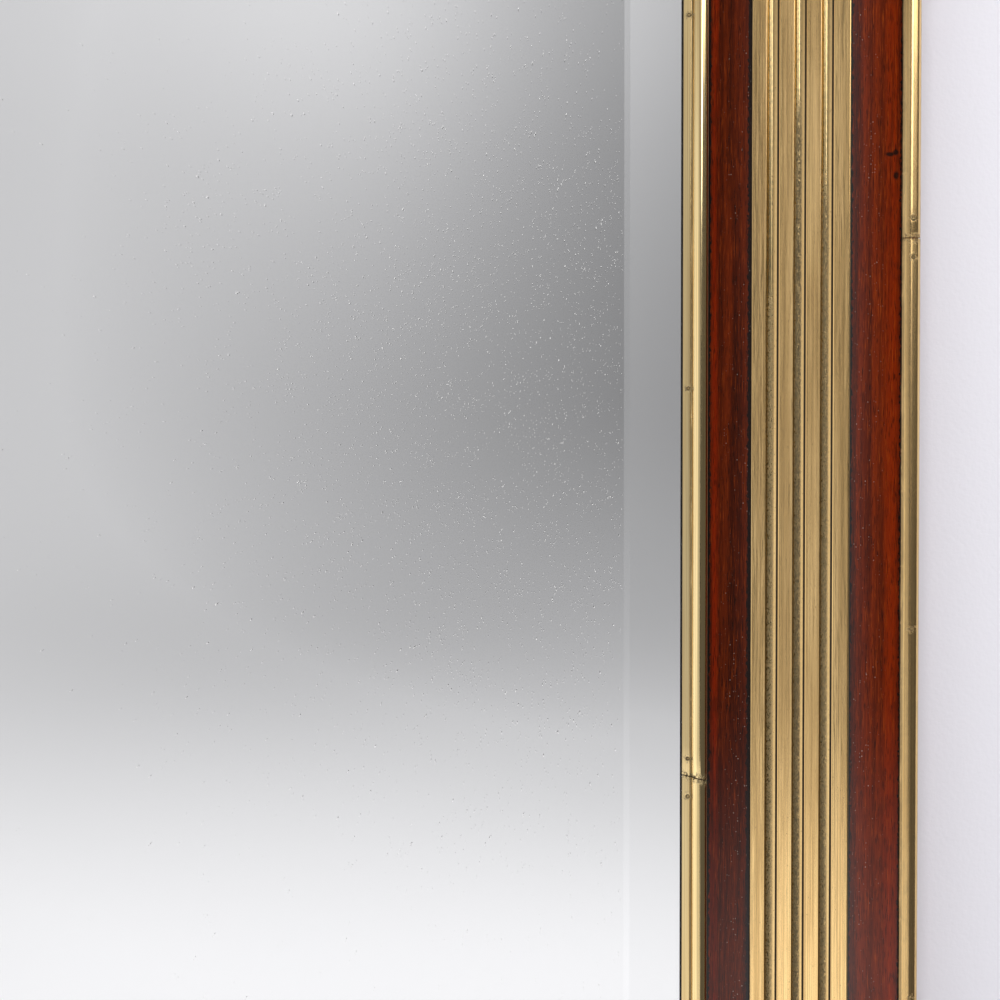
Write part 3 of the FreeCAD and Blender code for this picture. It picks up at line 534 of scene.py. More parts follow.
def softwood_finish(name, run, tones):
    """Sawn softwood with wide and narrow growth lines, blacked in the rebate, where the plate mirrors it."""
    wood = Finish(name)
    run(wood)
    across, along = (wood.z, wood.x) if run is Finish.on_rail else (wood.x, wood.z)
    bend = wood.noise(wood.vector(across / 60, wood.y / 60, along / 260), 2.0)
    ring = wood.noise(wood.vector(across / 7 + bend * 2.5, wood.y / 7, along / 420), 3.0, 0.55)
    fibre = wood.noise(wood.vector(across / 0.5, wood.y / 0.5, along / 18), 2.0, 0.6)
    colour = wood.blend(ring.between(0.35, 0.7), tones[0], tones[1])
    colour = wood.blend(fibre.between(0.5, 0.8) * 0.5, colour, tones[2])
    blacked = wood.out.between(BLACKED_OUT + 0.2, BLACKED_OUT)
    blacked = blacked * wood.height.between(BLACKED_DOWN - 1.0, BLACKED_DOWN)
    colour = wood.blend(blacked, colour, REBATE_BLACK)
    normal = wood.bump(ring * 0.4 + fibre * 0.6, 0.12)
    wood.surface({"Base Color": colour, "Roughness": 0.72, "Normal": normal})


# Brass: clean, dull and streaks
CLEAN_BRASS = ((0.90, 0.70, 0.36), (0.82, 0.60, 0.28), (0.55, 0.37, 0.16))
DULL_BRASS = ((0.84, 0.575, 0.255), (0.74, 0.48, 0.195), (0.50, 0.31, 0.115))
# Mahogany: its dark and its middle bands, the painted glow in them, light as if thrown off the brass, and its
# light fibres
INNER_TONES = (
    (0.034, 0.0045, 0.0008),
    (0.100, 0.0120, 0.0016),
    (0.165, 0.0110, 0.0006),
    (0.20, 0.030, 0.0035),
)
OUTER_TONES = (
    (0.060, 0.0070, 0.0010),
    (0.150, 0.0160, 0.0014),
    (0.185, 0.0150, 0.0004),
    (0.27, 0.040, 0.0030),
)
# Softwood: its wide and its narrow growth lines, and its fibres
PINE_TONES = ((0.42, 0.26, 0.13), (0.30, 0.16, 0.07), (0.22, 0.12, 0.055))
BOARD_TONES = ((0.36, 0.21, 0.10), (0.25, 0.13, 0.06), (0.17, 0.09, 0.04))

# Dark lines of dirt and painted shade, (place across, reach, strength): in the quirk, against the wood, and
# at the outer edge
INNER_DIRT_AND_SHADE = ((3.95, 0.45, 0.8), (11.0, 0.35, 1.0))
PANEL_DIRT_AND_SHADE = ((29.1, 0.4, 0.9), (70.6, 0.4, 0.9))
OUTER_DIRT_AND_SHADE = ((92.1, 0.35, 0.9), (92.7, 0.9, 0.45), (100.1, 0.3, 0.9))
# Joints in the beads: (place along, slant, middle across)
INNER_JOINT = (-117.0, -0.23, 5.5)
OUTER_JOINT = (110.0, 0.0, 96.1)
# Tarnish and painted shade along the bottoms of the three flutes, where their reflected highlights end: the
# places along where it starts, how slowly it does, its strengths, and how much of a flute's width lies before
# its middle
TARNISH_AND_SHADE_FROM = (84.0, 162.0, 132.0)
TARNISH_AND_SHADE_FADE = 14.0
TARNISH_AND_SHADE = (0.35, 0.75, 0.6)
TARNISH_AND_SHADE_MIDDLE = 0.42
# Pins: how far across they lie, how far apart, and how far the first is from a joint
INNER_PIN_LINE = 2.7
OUTER_PIN_LINE = 96.7
PIN_SPACING = 156.0
PIN_END = 8.0
# Wood: where its painted glow lies, light as if thrown off the brass, and where dust lies in the polish,
# (place across, reach, strength), its dark strips of painted shade with some dirt where it meets the brass,
# (start, end, strength), and its knots, (across, along, half width, half length)
INNER_PAINTED_GLOW = (14.0, 2.6, 1.0)
INNER_DUST = (24.0, 10.0, 0.8)
INNER_SHADE_AND_DIRT = ((9.0, 12.1, 1.0), (27.7, 32.0, 0.9))
OUTER_PAINTED_GLOW = (89.0, 6.0, 1.0)
OUTER_DUST = (77.0, 11.0, 0.8)
OUTER_SHADE_AND_DIRT = ((68.0, 71.6, 1.0), (71.8, 73.6, 0.3), (91.7, 94.0, 1.0))
OUTER_KNOTS = ((89.5, 146.0, 1.5, 1.5), (87.2, 145.2, 2.4, 1.1), (89.7, 136.3, 1.4, 2.2))
NOWHERE = (0.0, 1.0, 0.0)

for way, run in (("stile", Finish.on_stile), ("rail", Finish.on_rail)):
    brass_finish(
        f"inner_brass_{way}", run, CLEAN_BRASS, INNER_DIRT_AND_SHADE, 0.06, sight_edge, INNER_JOINT, INNER_PIN_LINE
    )
    brass_finish(f"panel_brass_{way}", run, DULL_BRASS, PANEL_DIRT_AND_SHADE, 0.07, flutes)
    brass_finish(
        f"outer_brass_{way}", run, DULL_BRASS, OUTER_DIRT_AND_SHADE, 0.13, rubbed, OUTER_JOINT, OUTER_PIN_LINE
    )
    mahogany_finish(f"inner_wood_{way}", run, INNER_TONES, INNER_PAINTED_GLOW, INNER_SHADE_AND_DIRT, INNER_DUST)
    mahogany_finish(f"outer_wood_{way}", run, OUTER_TONES, OUTER_PAINTED_GLOW, OUTER_SHADE_AND_DIRT, OUTER_DUST, OUTER_KNOTS)
    # The frame's outer sides are only waxed
    mahogany_finish(
        f"side_wood_{way}", run, OUTER_TONES, NOWHERE, (), NOWHERE, polish=0.12, polish_blur=0.35
    )
    softwood_finish(f"pine_{way}", run, PINE_TONES)
softwood_finish("board", Finish.on_stile, BOARD_TONES)
Finish("plate_glass").surface({
    "Base Color": (1.0, 1.0, 1.0), "Roughness": 0.0, "IOR": 1.5, "Transmission Weight": 1.0,
})
Finish("silver_coat").surface({"Base Color": (0.98, 0.98, 0.98), "Metallic": 1.0, "Roughness": 0.0})
plain_finish("dust", (0.95, 0.94, 0.92), 0.9)
plain_finish("oak", (0.30, 0.18, 0.09), 0.7)
old_metal_finish("pin", (0.55, 0.40, 0.18), (0.26, 0.17, 0.07), 0.25)
old_metal_finish("hanger", (0.86, 0.66, 0.33), (0.50, 0.34, 0.15), 0.2)
old_metal_finish("screw", (0.58, 0.57, 0.55), (0.22, 0.18, 0.15), 0.25)
old_metal_finish("nail", (0.30, 0.27, 0.25), (0.10, 0.06, 0.04), 0.4)

# Which finish each node gets, by how its name starts, the longer of two starts first
DRESS = {
    "inner_bead_core": "inner_wood",
    "inner_bead_pins": "pin",
    "outer_bead_pins": "pin",
    "inner_bead": "inner_brass",
    "outer_bead": "outer_brass",
    "fluted_panel": "panel_brass",
    "panel_core": "pine",
    "inner_band": "inner_wood",
    "outer_band": "outer_wood",
    "outer_lipping": "side_wood",
    "stile_core": "pine",
    "rail_core": "pine",
    "corner_pegs": "oak",
    "mirror_plate": "plate_glass",
    "silvering": "silver_coat",
    "plate_wedges": "pine",
    "glazing_blocks": "pine",
    "back_board_nails": "nail",
    "back_board": "board",
    "hanger_screws": "screw",
    "hanger": "hanger",
}

for name, node in NODES.items():
    key = next(finish for start, finish in DRESS.items() if name.startswith(start))
    way = "rail" if "_top" in name or "_bottom" in name else "stile"
    node.data.materials.clear()
    node.data.materials.append(finishes.get(key) or finishes[f"{key}_{way}"])


# Brass sections, in millimetres out from the sight edge and above the core: the thickness of the brass, then
# the inner bead, the fluted panel and the outer bead
BRASS = 0.8
SKIRT_FOOT = 1.5
ARRIS = 0.25
EDGE_ROUND = (0.4, 5.28)
FILLET_FOOT = 2.0
FILLET_TOP = 6.0
FILLET_MIDDLE = 1.9
FILLET_END = 3.6
FILLET_REACH = 1.5
FILLET_CROWN = 0.02
FILLET_TILT = 0.085
QUIRK = (3.95, 5.45)
UNDER_FILLET = 3.75
ROLL_START = 4.1
ROLL_RADIUS = 3.45
ROLL_FOOT = 4.55
ROLL_END = 11.0
PANEL_START = 29.1
PANEL_END = 70.6
PANEL_TOP = 5.5
PANEL_INNER_EASE = 0.5
PANEL_OUTER_EASE = 0.6
FLUTE_DEPTH = 1.9
FLUTE_INNER_EASE = 0.3
FLUTE_OUTER_EASE = 0.6
OUTER_START = 92.1
OUTER_FOOT = 5.6
OUTER_CREST = (95.4, 6.5)
OUTER_NOSE = 4.0
NOSE_FOOT = 1.0


def arc(middle, radius, first, last, steps):
    """Points round an arc, from one angle to another in degrees; 0 is outwards and 90 is forwards."""
    points = []
    for step in range(steps + 1):
        angle = math.radians(first + (last - first) * step / steps)
        points.append((middle[0] + radius * math.cos(angle), middle[1] + radius * math.sin(angle)))
    return points


def eased(points, steps=4):
    """Rounds each corner that carries a radius after its place, by that radius."""
    rounded = []
    count = len(points)
    for number, point in enumerate(points):
        here = Vector(point[:2])
        if len(point) < 3:
            rounded.append(tuple(here))
            continue
        ease = point[2]
        back = (Vector(points[number - 1][:2]) - here).normalized()
        on = (Vector(points[(number + 1) % count][:2]) - here).normalized()
        half = back.angle(on) / 2
        centre = here + (back + on).normalized() * (ease / math.sin(half))
        start = here + back * (ease / math.tan(half)) - centre
        end = here + on * (ease / math.tan(half)) - centre
        for step in range(steps + 1):
            spoke = start.lerp(end, step / steps).normalized() * ease
            rounded.append(tuple(centre + spoke))
    return rounded


def inner_bead_outline():
    roll = (ROLL_START + ROLL_RADIUS, ROLL_FOOT)
    fillet = []
    for out in (0.45, 0.8, 1.2, 1.6, 2.2, 2.6, 3.0):
        crown = FILLET_CROWN * ((out - FILLET_MIDDLE) / FILLET_REACH) ** 2
        fillet.append((out, FILLET_TOP - FILLET_TILT * (FILLET_END - out) - crown))
    outside = [(0.0, FILLET_FOOT), *arc(EDGE_ROUND, EDGE_ROUND[0], 180, 105, 4), *fillet]
    outside += [(FILLET_END, FILLET_TOP - FILLET_CROWN, ARRIS), QUIRK]
    outside += [*arc(roll, ROLL_RADIUS, 163, 0, 20), (ROLL_END, SKIRT_FOOT)]
    inside = [(ROLL_END - BRASS, SKIRT_FOOT), *arc(roll, ROLL_RADIUS - BRASS, 0, 180, 8)]
    inside += [(ROLL_START + BRASS, UNDER_FILLET), (BRASS, UNDER_FILLET), (BRASS, FILLET_FOOT)]
    return eased(outside + inside)


def fluted_panel_outline():
    half = FLUTE_WIDTH / 2
    radius = (half * half + FLUTE_DEPTH * FLUTE_DEPTH) / (2 * FLUTE_DEPTH)
    rise = PANEL_TOP - FLUTE_DEPTH + radius
    lean = math.degrees(math.asin(half / radius))
    corner = (PANEL_START + PANEL_INNER_EASE, PANEL_TOP - PANEL_INNER_EASE)
    outside = [(PANEL_START, SKIRT_FOOT), *arc(corner, PANEL_INNER_EASE, 180, 90, 4)]
    under = []
    drop = math.degrees(math.acos((rise - PANEL_TOP + BRASS) / (radius + BRASS)))
    for start in FLUTE_STARTS:
        middle = (start + half, rise)
        flute = arc(middle, radius, 270 - lean, 270 + lean, 16)
        outside += [(*flute[0], FLUTE_INNER_EASE), *flute[1:-2], (*flute[-1], FLUTE_OUTER_EASE)]
        under = [*reversed(arc(middle, radius + BRASS, 270 - drop, 270 + drop, 8)), *under]
    corner = (PANEL_END - PANEL_OUTER_EASE, PANEL_TOP - PANEL_OUTER_EASE)
    outside += [*arc(corner, PANEL_OUTER_EASE, 90, 0, 6), (PANEL_END, SKIRT_FOOT)]
    inside = [(PANEL_END - BRASS, SKIRT_FOOT), (PANEL_END - BRASS, PANEL_TOP - BRASS), *under]
    inside += [(PANEL_START + BRASS, PANEL_TOP - BRASS), (PANEL_START + BRASS, SKIRT_FOOT)]
    return eased(outside + inside)


def outer_bead_outline():
    run, drop = OUTER_CREST[0] - OUTER_START, OUTER_CREST[1] - OUTER_FOOT
    radius = (run * run + drop * drop) / (2 * drop)
    lean = math.degrees(math.asin(run / radius))
    nose = (OUTER_CREST[0], OUTER_CREST[1] - OUTER_NOSE)
    slope = (OUTER_CREST[0], OUTER_CREST[1] - radius)
    outside = [(OUTER_START, SKIRT_FOOT), *arc(slope, radius, 90 + lean, 90, 8)[:-1]]
    outside[1] = (*outside[1], ARRIS)
    oval = (FRAME_WIDTH - OUTER_CREST[0]) / OUTER_NOSE
    outside += [(nose[0] + (s - nose[0]) * oval, h) for s, h in arc(nose, OUTER_NOSE, 90, 0, 14)]
    outside += [(FRAME_WIDTH, NOSE_FOOT)]
    inside = [(FRAME_WIDTH - BRASS, NOSE_FOOT), *arc(nose, OUTER_NOSE - BRASS, 0, 90, 6)]
    inside += [(OUTER_START + BRASS, OUTER_FOOT - BRASS), (OUTER_START + BRASS, SKIRT_FOOT)]
    return eased(outside + inside)


# How many millimetres one wave of a moulding takes across and along, and how long the dip at an end is
WAVE_ACROSS = 11
WAVE_ALONG = 32
DIP_LENGTH = 7


def moulding_tree():
    """Draws an outline along a side: each end cut on a slant, with slight waves from drawing and age."""
    inputs = [("Rings", int), ("Finish", "finish"), ("Seed", float), ("Wave", float)]
    inputs += [(f"{end} {part}", float) for end in ("Low", "High") for part in ("end", "slant", "dip")]
    tree = Shape("moulding", inputs)
    ends = {"Start": (0.0, 0.0, 0.0), "End": (0.0, 0.0, 1.0)}
    line = tree.node("GeometryNodeCurvePrimitiveLine", ends)
    line = tree.node("GeometryNodeResampleCurve", {"Curve": line, "Count": tree.given("Rings")})
    swept, out, height, share = tree.sweep(line, tree.given("Geometry"), True)
    low = tree.given("Low end") + tree.given("Low slant") * out
    high = tree.given("High end") + tree.given("High slant") * out
    along = low + (high - low) * share
    wave_place = tree.vector(out / (WAVE_ACROSS * MM), tree.given("Seed"), along / (WAVE_ALONG * MM))
    sink = tree.noise(wave_place, 3.0, 0.6) * tree.given("Wave")
    low_dip = (along - low).between(DIP_LENGTH * MM, 0.0) * tree.given("Low dip")
    high_dip = (high - along).between(DIP_LENGTH * MM, 0.0) * tree.given("High dip")
    depth = CORE_FRONT * MM - height + sink + low_dip + high_dip
    place = tree.vector(out, depth, along)
    tree.ends_with(tree.node("GeometryNodeSetPosition", {"Geometry": swept, "Position": place}))
    return tree


# The turns that set a moulding on its side of the frame; it is drawn out from the sight edge and upwards
RIGHT = Matrix.Translation((SIGHT_HALF_WIDTH * MM, 0, 0))
LEFT = Matrix(((-1, 0, 0, -SIGHT_HALF_WIDTH * MM), (0, 1, 0, 0), (0, 0, -1, 0), (0, 0, 0, 1)))
TOP = Matrix(((0, 0, -1, 0), (0, 1, 0, 0), (1, 0, 0, SIGHT_HALF_HEIGHT * MM), (0, 0, 0, 1)))
BOTTOM = Matrix(((0, 0, 1, 0), (0, 1, 0, 0), (-1, 0, 0, -SIGHT_HALF_HEIGHT * MM), (0, 0, 0, 1)))
# The four sides: name, finish ending, half length at the sight edge, and the turn into place
SIDES = (
    ("right", "stile", SIGHT_HALF_HEIGHT, RIGHT),
    ("left", "stile", SIGHT_HALF_HEIGHT, LEFT),
    ("top", "rail", SIGHT_HALF_WIDTH, TOP),
    ("bottom", "rail", SIGHT_HALF_WIDTH, BOTTOM),
)
# How far an end stands back from a mitre and from a joint, and how far it dips there
MITRE_GAP = 0.05
JOINT_GAP = 0.2
JOINT_DIP = 0.3
RING_SPACING = 4.0
SEED_STEP = 7.3
# How deep the waves are
PANEL_WAVE = 0.03
INNER_WAVE = 0.06
OUTER_WAVE = 0.16

moulding = moulding_tree()
pieces_made = 0


def draw_brass(name, outline, finish, place, low, high, wave):
    """One length of brass moulding, from its low end to its high end along its side. Each end is given by its
    place at the sight edge, its slant and its dip."""
    global pieces_made
    pieces_made += 1
    settings = {
        "Rings": int((high[0] - low[0]) / RING_SPACING),
        "Finish": finish,
        "Seed": pieces_made * SEED_STEP,
        "Wave": wave * MM,
        "Low end": low[0] * MM,
        "Low slant": low[1],
        "Low dip": low[2] * MM,
        "High end": high[0] * MM,
        "High slant": high[1],
        "High dip": high[2] * MM,
    }
    piece = moulding.make(f"drawn_{name}", outline_mesh(name, outline), settings, place)
    belongs(piece, "drawn_brass", name)


for side, way, half, place in SIDES:
    low_mitre = (-(half - MITRE_GAP), -1.0, 0.0)
    high_mitre = (half - MITRE_GAP, 1.0, 0.0)
    finish = finishes[f"panel_brass_{way}"]
    draw_brass(
        f"fluted_panel_{side}", fluted_panel_outline(), finish, place, low_mitre, high_mitre, PANEL_WAVE
    )
    for bead, outline, joint, wave in (
        ("inner", inner_bead_outline(), INNER_JOINT, INNER_WAVE),
        ("outer", outer_bead_outline(), OUTER_JOINT, OUTER_WAVE),
    ):
        finish = finishes[f"{bead}_brass_{way}"]
        if way == "rail":
            draw_brass(f"{bead}_bead_{side}", outline, finish, place, low_mitre, high_mitre, wave)
            continue
        lower, upper = ("lower", "upper") if side == "right" else ("upper", "lower")
        at_sight_edge = joint[0] - joint[1] * joint[2]
        below = (at_sight_edge - JOINT_GAP, joint[1], 0.0)
        above = (at_sight_edge + JOINT_GAP, joint[1], JOINT_DIP)
        draw_brass(f"{bead}_bead_{side}_{lower}", outline, finish, place, low_mitre, below, wave)
        draw_brass(f"{bead}_bead_{side}_{upper}", outline, finish, place, above, high_mitre, wave)


def turned_tree():
    """A turned piece set at every point of a mesh: its half outline, as radius and height, spun round."""
    tree = Shape("turned", [("Outline", "object"), ("Steps", int), ("Lean", float), ("Finish", "finish")])
    drawn = tree.node("GeometryNodeObjectInfo", {"Object": tree.given("Outline")}, outlet="Geometry")
    ring = tree.node("GeometryNodeCurvePrimitiveCircle", {"Resolution": tree.given("Steps")})
    spun, radius, height, share = tree.sweep(ring, drawn, False)
    turn = share * math.tau
    place = tree.vector(radius * turn.sum("COSINE"), height, radius * turn.sum("SINE"))
    spun = tree.node("GeometryNodeSetPosition", {"Geometry": spun, "Position": place})
    spun = tree.node("GeometryNodeMergeByDistance", {"Geometry": spun, "Distance": TURNED_WELD})
    sockets = {"Min": (-1.0, -1.0, -1.0), "Max": (1.0, 1.0, 1.0), "Seed": 11}
    chance = tree.node("FunctionNodeRandomValue", sockets, "Value", data_type="FLOAT_VECTOR")
    tilt_x, spin, tilt_z = tree.parts(chance)
    lean = tree.given("Lean")
    turned = tree.node(
        "GeometryNodeInstanceOnPoints",
        {
            "Points": tree.given("Geometry"),
            "Instance": spun,
            "Rotation": tree.vector(tilt_x * lean, spin * math.pi, tilt_z * lean),
        },
    )
    tree.ends_with(turned)
    return tree


turned = turned_tree()


def set_turned(name, places, half_outline, finish, steps, lean=0.0):
    """One turned piece at every place, in millimetres, all in one mesh, from its half outline."""
    guide = bpy.data.meshes.new(f"{name}_outline")
    edges = [(number, number + 1) for number in range(len(half_outline) - 1)]
    guide.from_pydata([(a * MM, b * MM, 0.0) for a, b in half_outline], edges, [])
    shape = placed(f"{name}_outline", guide)
    points = bpy.data.meshes.new(f"{name}_places")
    points.from_pydata([tuple(part * MM for part in place) for place in places], [], [])
    piece = turned.make(name, points, {"Outline": shape, "Steps": steps, "Lean": lean, "Finish": finish})
    bpy.data.objects.remove(shape)
    return piece


def loose_centres(name):
    """The middle of every loose part of a node, seen from the front, in millimetres: one a pin or a nail."""
    work = bmesh.new()
    work.from_mesh(NODES[name].data)
    bmesh.ops.remove_doubles(work, verts=work.verts, dist=WELD / 2)
    waiting = set(work.verts)
    centres = []
    while waiting:
        found = [waiting.pop()]
        for vert in found:
            for edge in vert.link_edges:
                other = edge.other_vert(vert)
                if other in waiting:
                    waiting.remove(other)
                    found.append(other)
        for axis in (0, 2):
            found.sort(key=lambda vert: vert.co[axis])
            centres.append((found[0].co[axis] + found[-1].co[axis]) / 2 / MM)
    work.free()
    return sorted(zip(centres[0::2], centres[1::2]))


# Brass pins, filed flush and dished where they were punched in
PIN_OUTLINE = (
    (0.0, 9.9), (0.5, 9.9), (0.56, 0.16), (0.62, 0.03),
    (0.52, -0.03), (0.36, 0.05), (0.16, 0.12), (0.0, 0.13),
)
PIN_FACES = (("inner", -35.99), ("outer", -36.42))
for bead, depth in PIN_FACES:
    places = [(x, depth, z) for x, z in loose_centres(f"{bead}_bead_pins")]
    pins = set_turned(f"filed_{bead}_pins", places, PIN_OUTLINE, finishes["pin"], steps=14, lean=0.08)
    belongs(pins, "drawn_brass", f"{bead}_bead_pins")

# Nails through the back boards, their heads flush with the back
NAIL_OUTLINE = (
    (0.0, -24.0), (0.6, -22.6), (1.05, -20.0), (1.1, -1.1), (1.9, -0.74), (2.17, -0.6), (2.2, -0.35),
    (1.98, -0.08), (1.3, -0.03), (0.6, -0.07), (0.0, -0.1),
)
places = [(x, 0.0, z) for x, z in loose_centres("back_board_nails")]
nails = set_turned("driven_nails", places, NAIL_OUTLINE, finishes["nail"], steps=18)
belongs(nails, "nail_iron", "back_board_nails")


# The thick of the dust, in metres: how far right and up it lies, and its reach
DUST_HEART = (0.28, 0.045)
DUST_REACH = (0.095, 0.14)
# How many specks lie there, in drifts and everywhere else
HEART_DUST = 1.5
DRIFT_DUST = 0.12
THIN_DUST = 0.014


def dust_tree():
    """Specks of dust scattered over a face: thicker in drifts, and along the strokes of a cloth."""
    inputs = [("Flake", "object"), ("Density", float), ("Size", float), ("Seed", int)]
    tree = Shape("dust", [*inputs, ("Finish", "finish")])
    x, _, z = tree.parts(tree.node("GeometryNodeInputPosition"))
    drift = tree.noise(tree.vector(x / 0.15 + 2.2, 0.0, z / 0.21), 3.0, 0.6)
    stroke, across_stroke = x * 0.88 + z * 0.47, z * 0.88 - x * 0.47 + x * x * 0.5
    wiped = tree.noise(tree.vector(stroke / 0.10, across_stroke / 0.0045, 3.0), 2.0, 0.5)
    clump = tree.noise(tree.vector(x / 0.007, 9.0, z / 0.009), 2.0, 0.5)
    heart = bell((x - DUST_HEART[0]) / DUST_REACH[0], (z - DUST_HEART[1]) / DUST_REACH[1])
    amount = THIN_DUST + drift.between(0.50, 0.72) * DRIFT_DUST + heart * HEART_DUST
    amount = amount * (0.35 + wiped.between(0.42, 0.62) * 0.65)
    amount = amount * (0.25 + clump.between(0.38, 0.58) * 0.75)
    scattered = tree.node(
        "GeometryNodeDistributePointsOnFaces",
        {"Mesh": tree.given("Geometry"), "Density": tree.given("Density"), "Seed": tree.given("Seed")},
        "Points",
        distribute_method="RANDOM",
    )

    def chance(seed):
        sockets = {"Min": 0.0, "Max": 1.0, "Seed": seed}
        return tree.node("FunctionNodeRandomValue", sockets, "Value", data_type="FLOAT")

    size = (0.23 + chance(1) ** 9.0 * 0.26) * tree.given("Size")
    long = 1.2 + chance(2) ** 2.0 * 1.9
    flake = tree.node("GeometryNodeObjectInfo", {"Object": tree.given("Flake")}, outlet="Geometry")
    laid = tree.node(
        "GeometryNodeInstanceOnPoints",
        {
            "Points": scattered,
            "Selection": amount > chance(4),
            "Instance": flake,
            "Rotation": tree.vector(0.0, chance(3) * 0.7 - 1.55, 0.0),
            "Scale": tree.vector(size * long, size, size),
        },
    )
    tree.ends_with(laid)
    return tree


# Dust on the flat of the plate
BEVEL_INSET = 24.6
DUST_LIFT = 0.004
FLAKE_REACHES = (1.0, 0.7, 0.85, 0.9)
low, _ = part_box("mirror_plate")
edge_x, edge_z = (SIGHT_HALF_WIDTH - BEVEL_INSET) * MM, (SIGHT_HALF_HEIGHT - BEVEL_INSET) * MM
field = bpy.data.meshes.new("dust_field")
corners = rectangle(-edge_x, -edge_z, edge_x, edge_z, low.y - DUST_LIFT * MM)
field.from_pydata(corners, [], [(0, 1, 2, 3)])
rim = []
for number, reach in enumerate(FLAKE_REACHES):
    angle = number * math.tau / 4
    rim.append((math.cos(angle) * reach, 0.0, math.sin(angle) * reach))
flake_mesh = bpy.data.meshes.new("flake")
flake_mesh.from_pydata([*rim, (0.1, -0.03, 0.05)], [], [(n, (n + 1) % 4, 4) for n in range(4)])
flake = placed("flake", flake_mesh)
settings = {"Flake": flake, "Density": 360000.0, "Size": 0.5 * MM, "Seed": 5, "Finish": finishes["dust"]}
dust = dust_tree().make("plate_dust", field, settings)
bpy.data.objects.remove(flake)
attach(dust, "frame")

# The silvered coat, a hair behind the glass
COAT_GAP = 0.02
low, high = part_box("silvering")
corners = rectangle(low.x, low.z, high.x, high.z, low.y + COAT_GAP * MM)
corners += rectangle(low.x, low.z, high.x, high.z, high.y)
quads = [(0, 1, 2, 3), (7, 6, 5, 4), (0, 4, 5, 1), (1, 5, 6, 2), (2, 6, 7, 3), (3, 7, 4, 0)]
coat = new_piece("silver_coat", corners, finishes["silver_coat"], quads)
belongs(coat, "silver_coat", "silvering")


# Camera
camera_data = bpy.data.cameras.new("camera")
camera_data.lens = 108.0
camera_data.sensor_width = 36.0
camera_data.clip_start = 0.01
camera_data.clip_end = 50.0
camera = placed("camera", camera_data)
camera.location = (0.28968, -1.29739, 0.04531)
camera.rotation_mode = "XYZ"
camera.rotation_euler = (math.radians(87.948), 0.0, math.radians(0.735))
bpy.context.scene.camera = camera

# Room: what the plate and the brass mirror. A place in it is given by across and rise, how far right and up
# it is for each metre ahead, or by right, back and up, the parts of its direction.
ROOM_TURN = 2.37
LEAST_AHEAD = 0.05
ROOM_GREY = (0.84, 0.83, 0.88)
world = bpy.data.worlds.new("room")
bpy.context.scene.world = world
world.use_nodes = True
room = Tree(world.node_tree)
direction = room.node("ShaderNodeTexCoord", outlet="Generated")
right, back, up = room.parts(direction)
turn_cos, turn_sin = math.cos(math.radians(ROOM_TURN)), math.sin(math.radians(ROOM_TURN))
right, back = right * turn_cos - back * turn_sin, back * turn_cos + right * turn_sin
ahead = (-back).most(LEAST_AHEAD)
across, rise = right / ahead, up / ahead


def over(base, mask, top):
    """base where mask is 0, turning into top where it is 1."""
    return base + (top - base) * mask


# The part of the room that the plate shows: darker round one place, pale above it and white low down
PALE_TONE = 0.788
DARK_PLACE = (0.115, 0.004)
DARK_REACH, DARK_REACH_UP, DARK_REACH_DOWN = 0.233, 0.367, 0.123
DARK_STRENGTH = 0.32
# Soft ovals in it: across, rise, the reach both ways, and how much lighter they are
OVALS = (
    (-0.0147, 0.137, 0.071, 0.094, 0.15),
    (-0.035, -0.085, 0.10, 0.035, -0.05),
    (0.10, -0.13, 0.08, 0.035, -0.045),
)
beyond_up = (rise - DARK_PLACE[1]).most(0.0) / DARK_REACH_UP
beyond_down = (DARK_PLACE[1] - rise).most(0.0) / DARK_REACH_DOWN
far = apart((across - DARK_PLACE[0]) / DARK_REACH, beyond_up, beyond_down)
tone = PALE_TONE - (1.0 - far).most(0.0) * DARK_STRENGTH
for middle, level, reach_across, reach_up, lighter in OVALS:
    tone = tone + bell((across - middle) / reach_across, (rise - level) / reach_up) * lighter
tone = tone + rise.between(0.07, 0.14) * 0.02 + rise.between(-0.07, -0.203) * 0.188
seen = tone ** 2.2
# Beside it, mirrored by the wood and the brass: a dark strip with a bright line, white at its foot
STRIP_LIGHT = 0.03
LINE_LIGHT = 0.95
FOOT_LIGHT = 0.8
strip = across.between(0.075, 0.087) * rise.between(0.30, 0.16)
strip_light = STRIP_LIGHT + across.between(0.112, 0.118) * across.between(0.151, 0.146) * LINE_LIGHT
strip_light = strip_light + rise.between(-0.095, -0.21) * across.between(0.215, 0.165) * FOOT_LIGHT
seen = over(seen, strip, strip_light)
# Round it: a pale side to the left, a dark one to the right, with a window high in it
RIGHT_LIGHT = 0.12
LEFT_LIGHT = 0.98
LOW_LIGHT = 0.75
BACK_LIGHT = 0.85
WINDOW_LIGHT = 4.2
WINDOW_FOOT_LIGHT = 2.3
side_light = RIGHT_LIGHT + right.between(-0.16, -0.50) * LEFT_LIGHT * abs(up + 0.10).between(0.34, 0.12)
low_light = across.between(0.50, 0.30) * (0.4 + across.between(-0.6, -0.05) * 0.6)
low_light = low_light * rise.between(-0.10, -0.24) * back.between(0.0, -0.3)
side_light = over(side_light, low_light, LOW_LIGHT + rise.between(-0.16, -0.30) * 1.1)
round_it = (across * across * 0.8 + rise * rise) ** 0.5
mixed = over(seen, round_it.between(0.20, 0.36), side_light)
mixed = over(mixed, back.between(0.05, 0.35), BACK_LIGHT)
window_foot = 0.05 + right.between(0.40, 0.56) * 0.05
window = right.between(0.22, 0.30) * right.between(0.98, 0.90) * (up - window_foot).between(0.0, 0.045)
window = window * up.between(0.26, 0.17) * back.between(0.05, -0.1)
mixed = mixed + window * (WINDOW_LIGHT + up.between(0.12, 0.07) * WINDOW_FOOT_LIGHT)
light_path = room.node("ShaderNodeLightPath", outlet="Is Camera Ray")
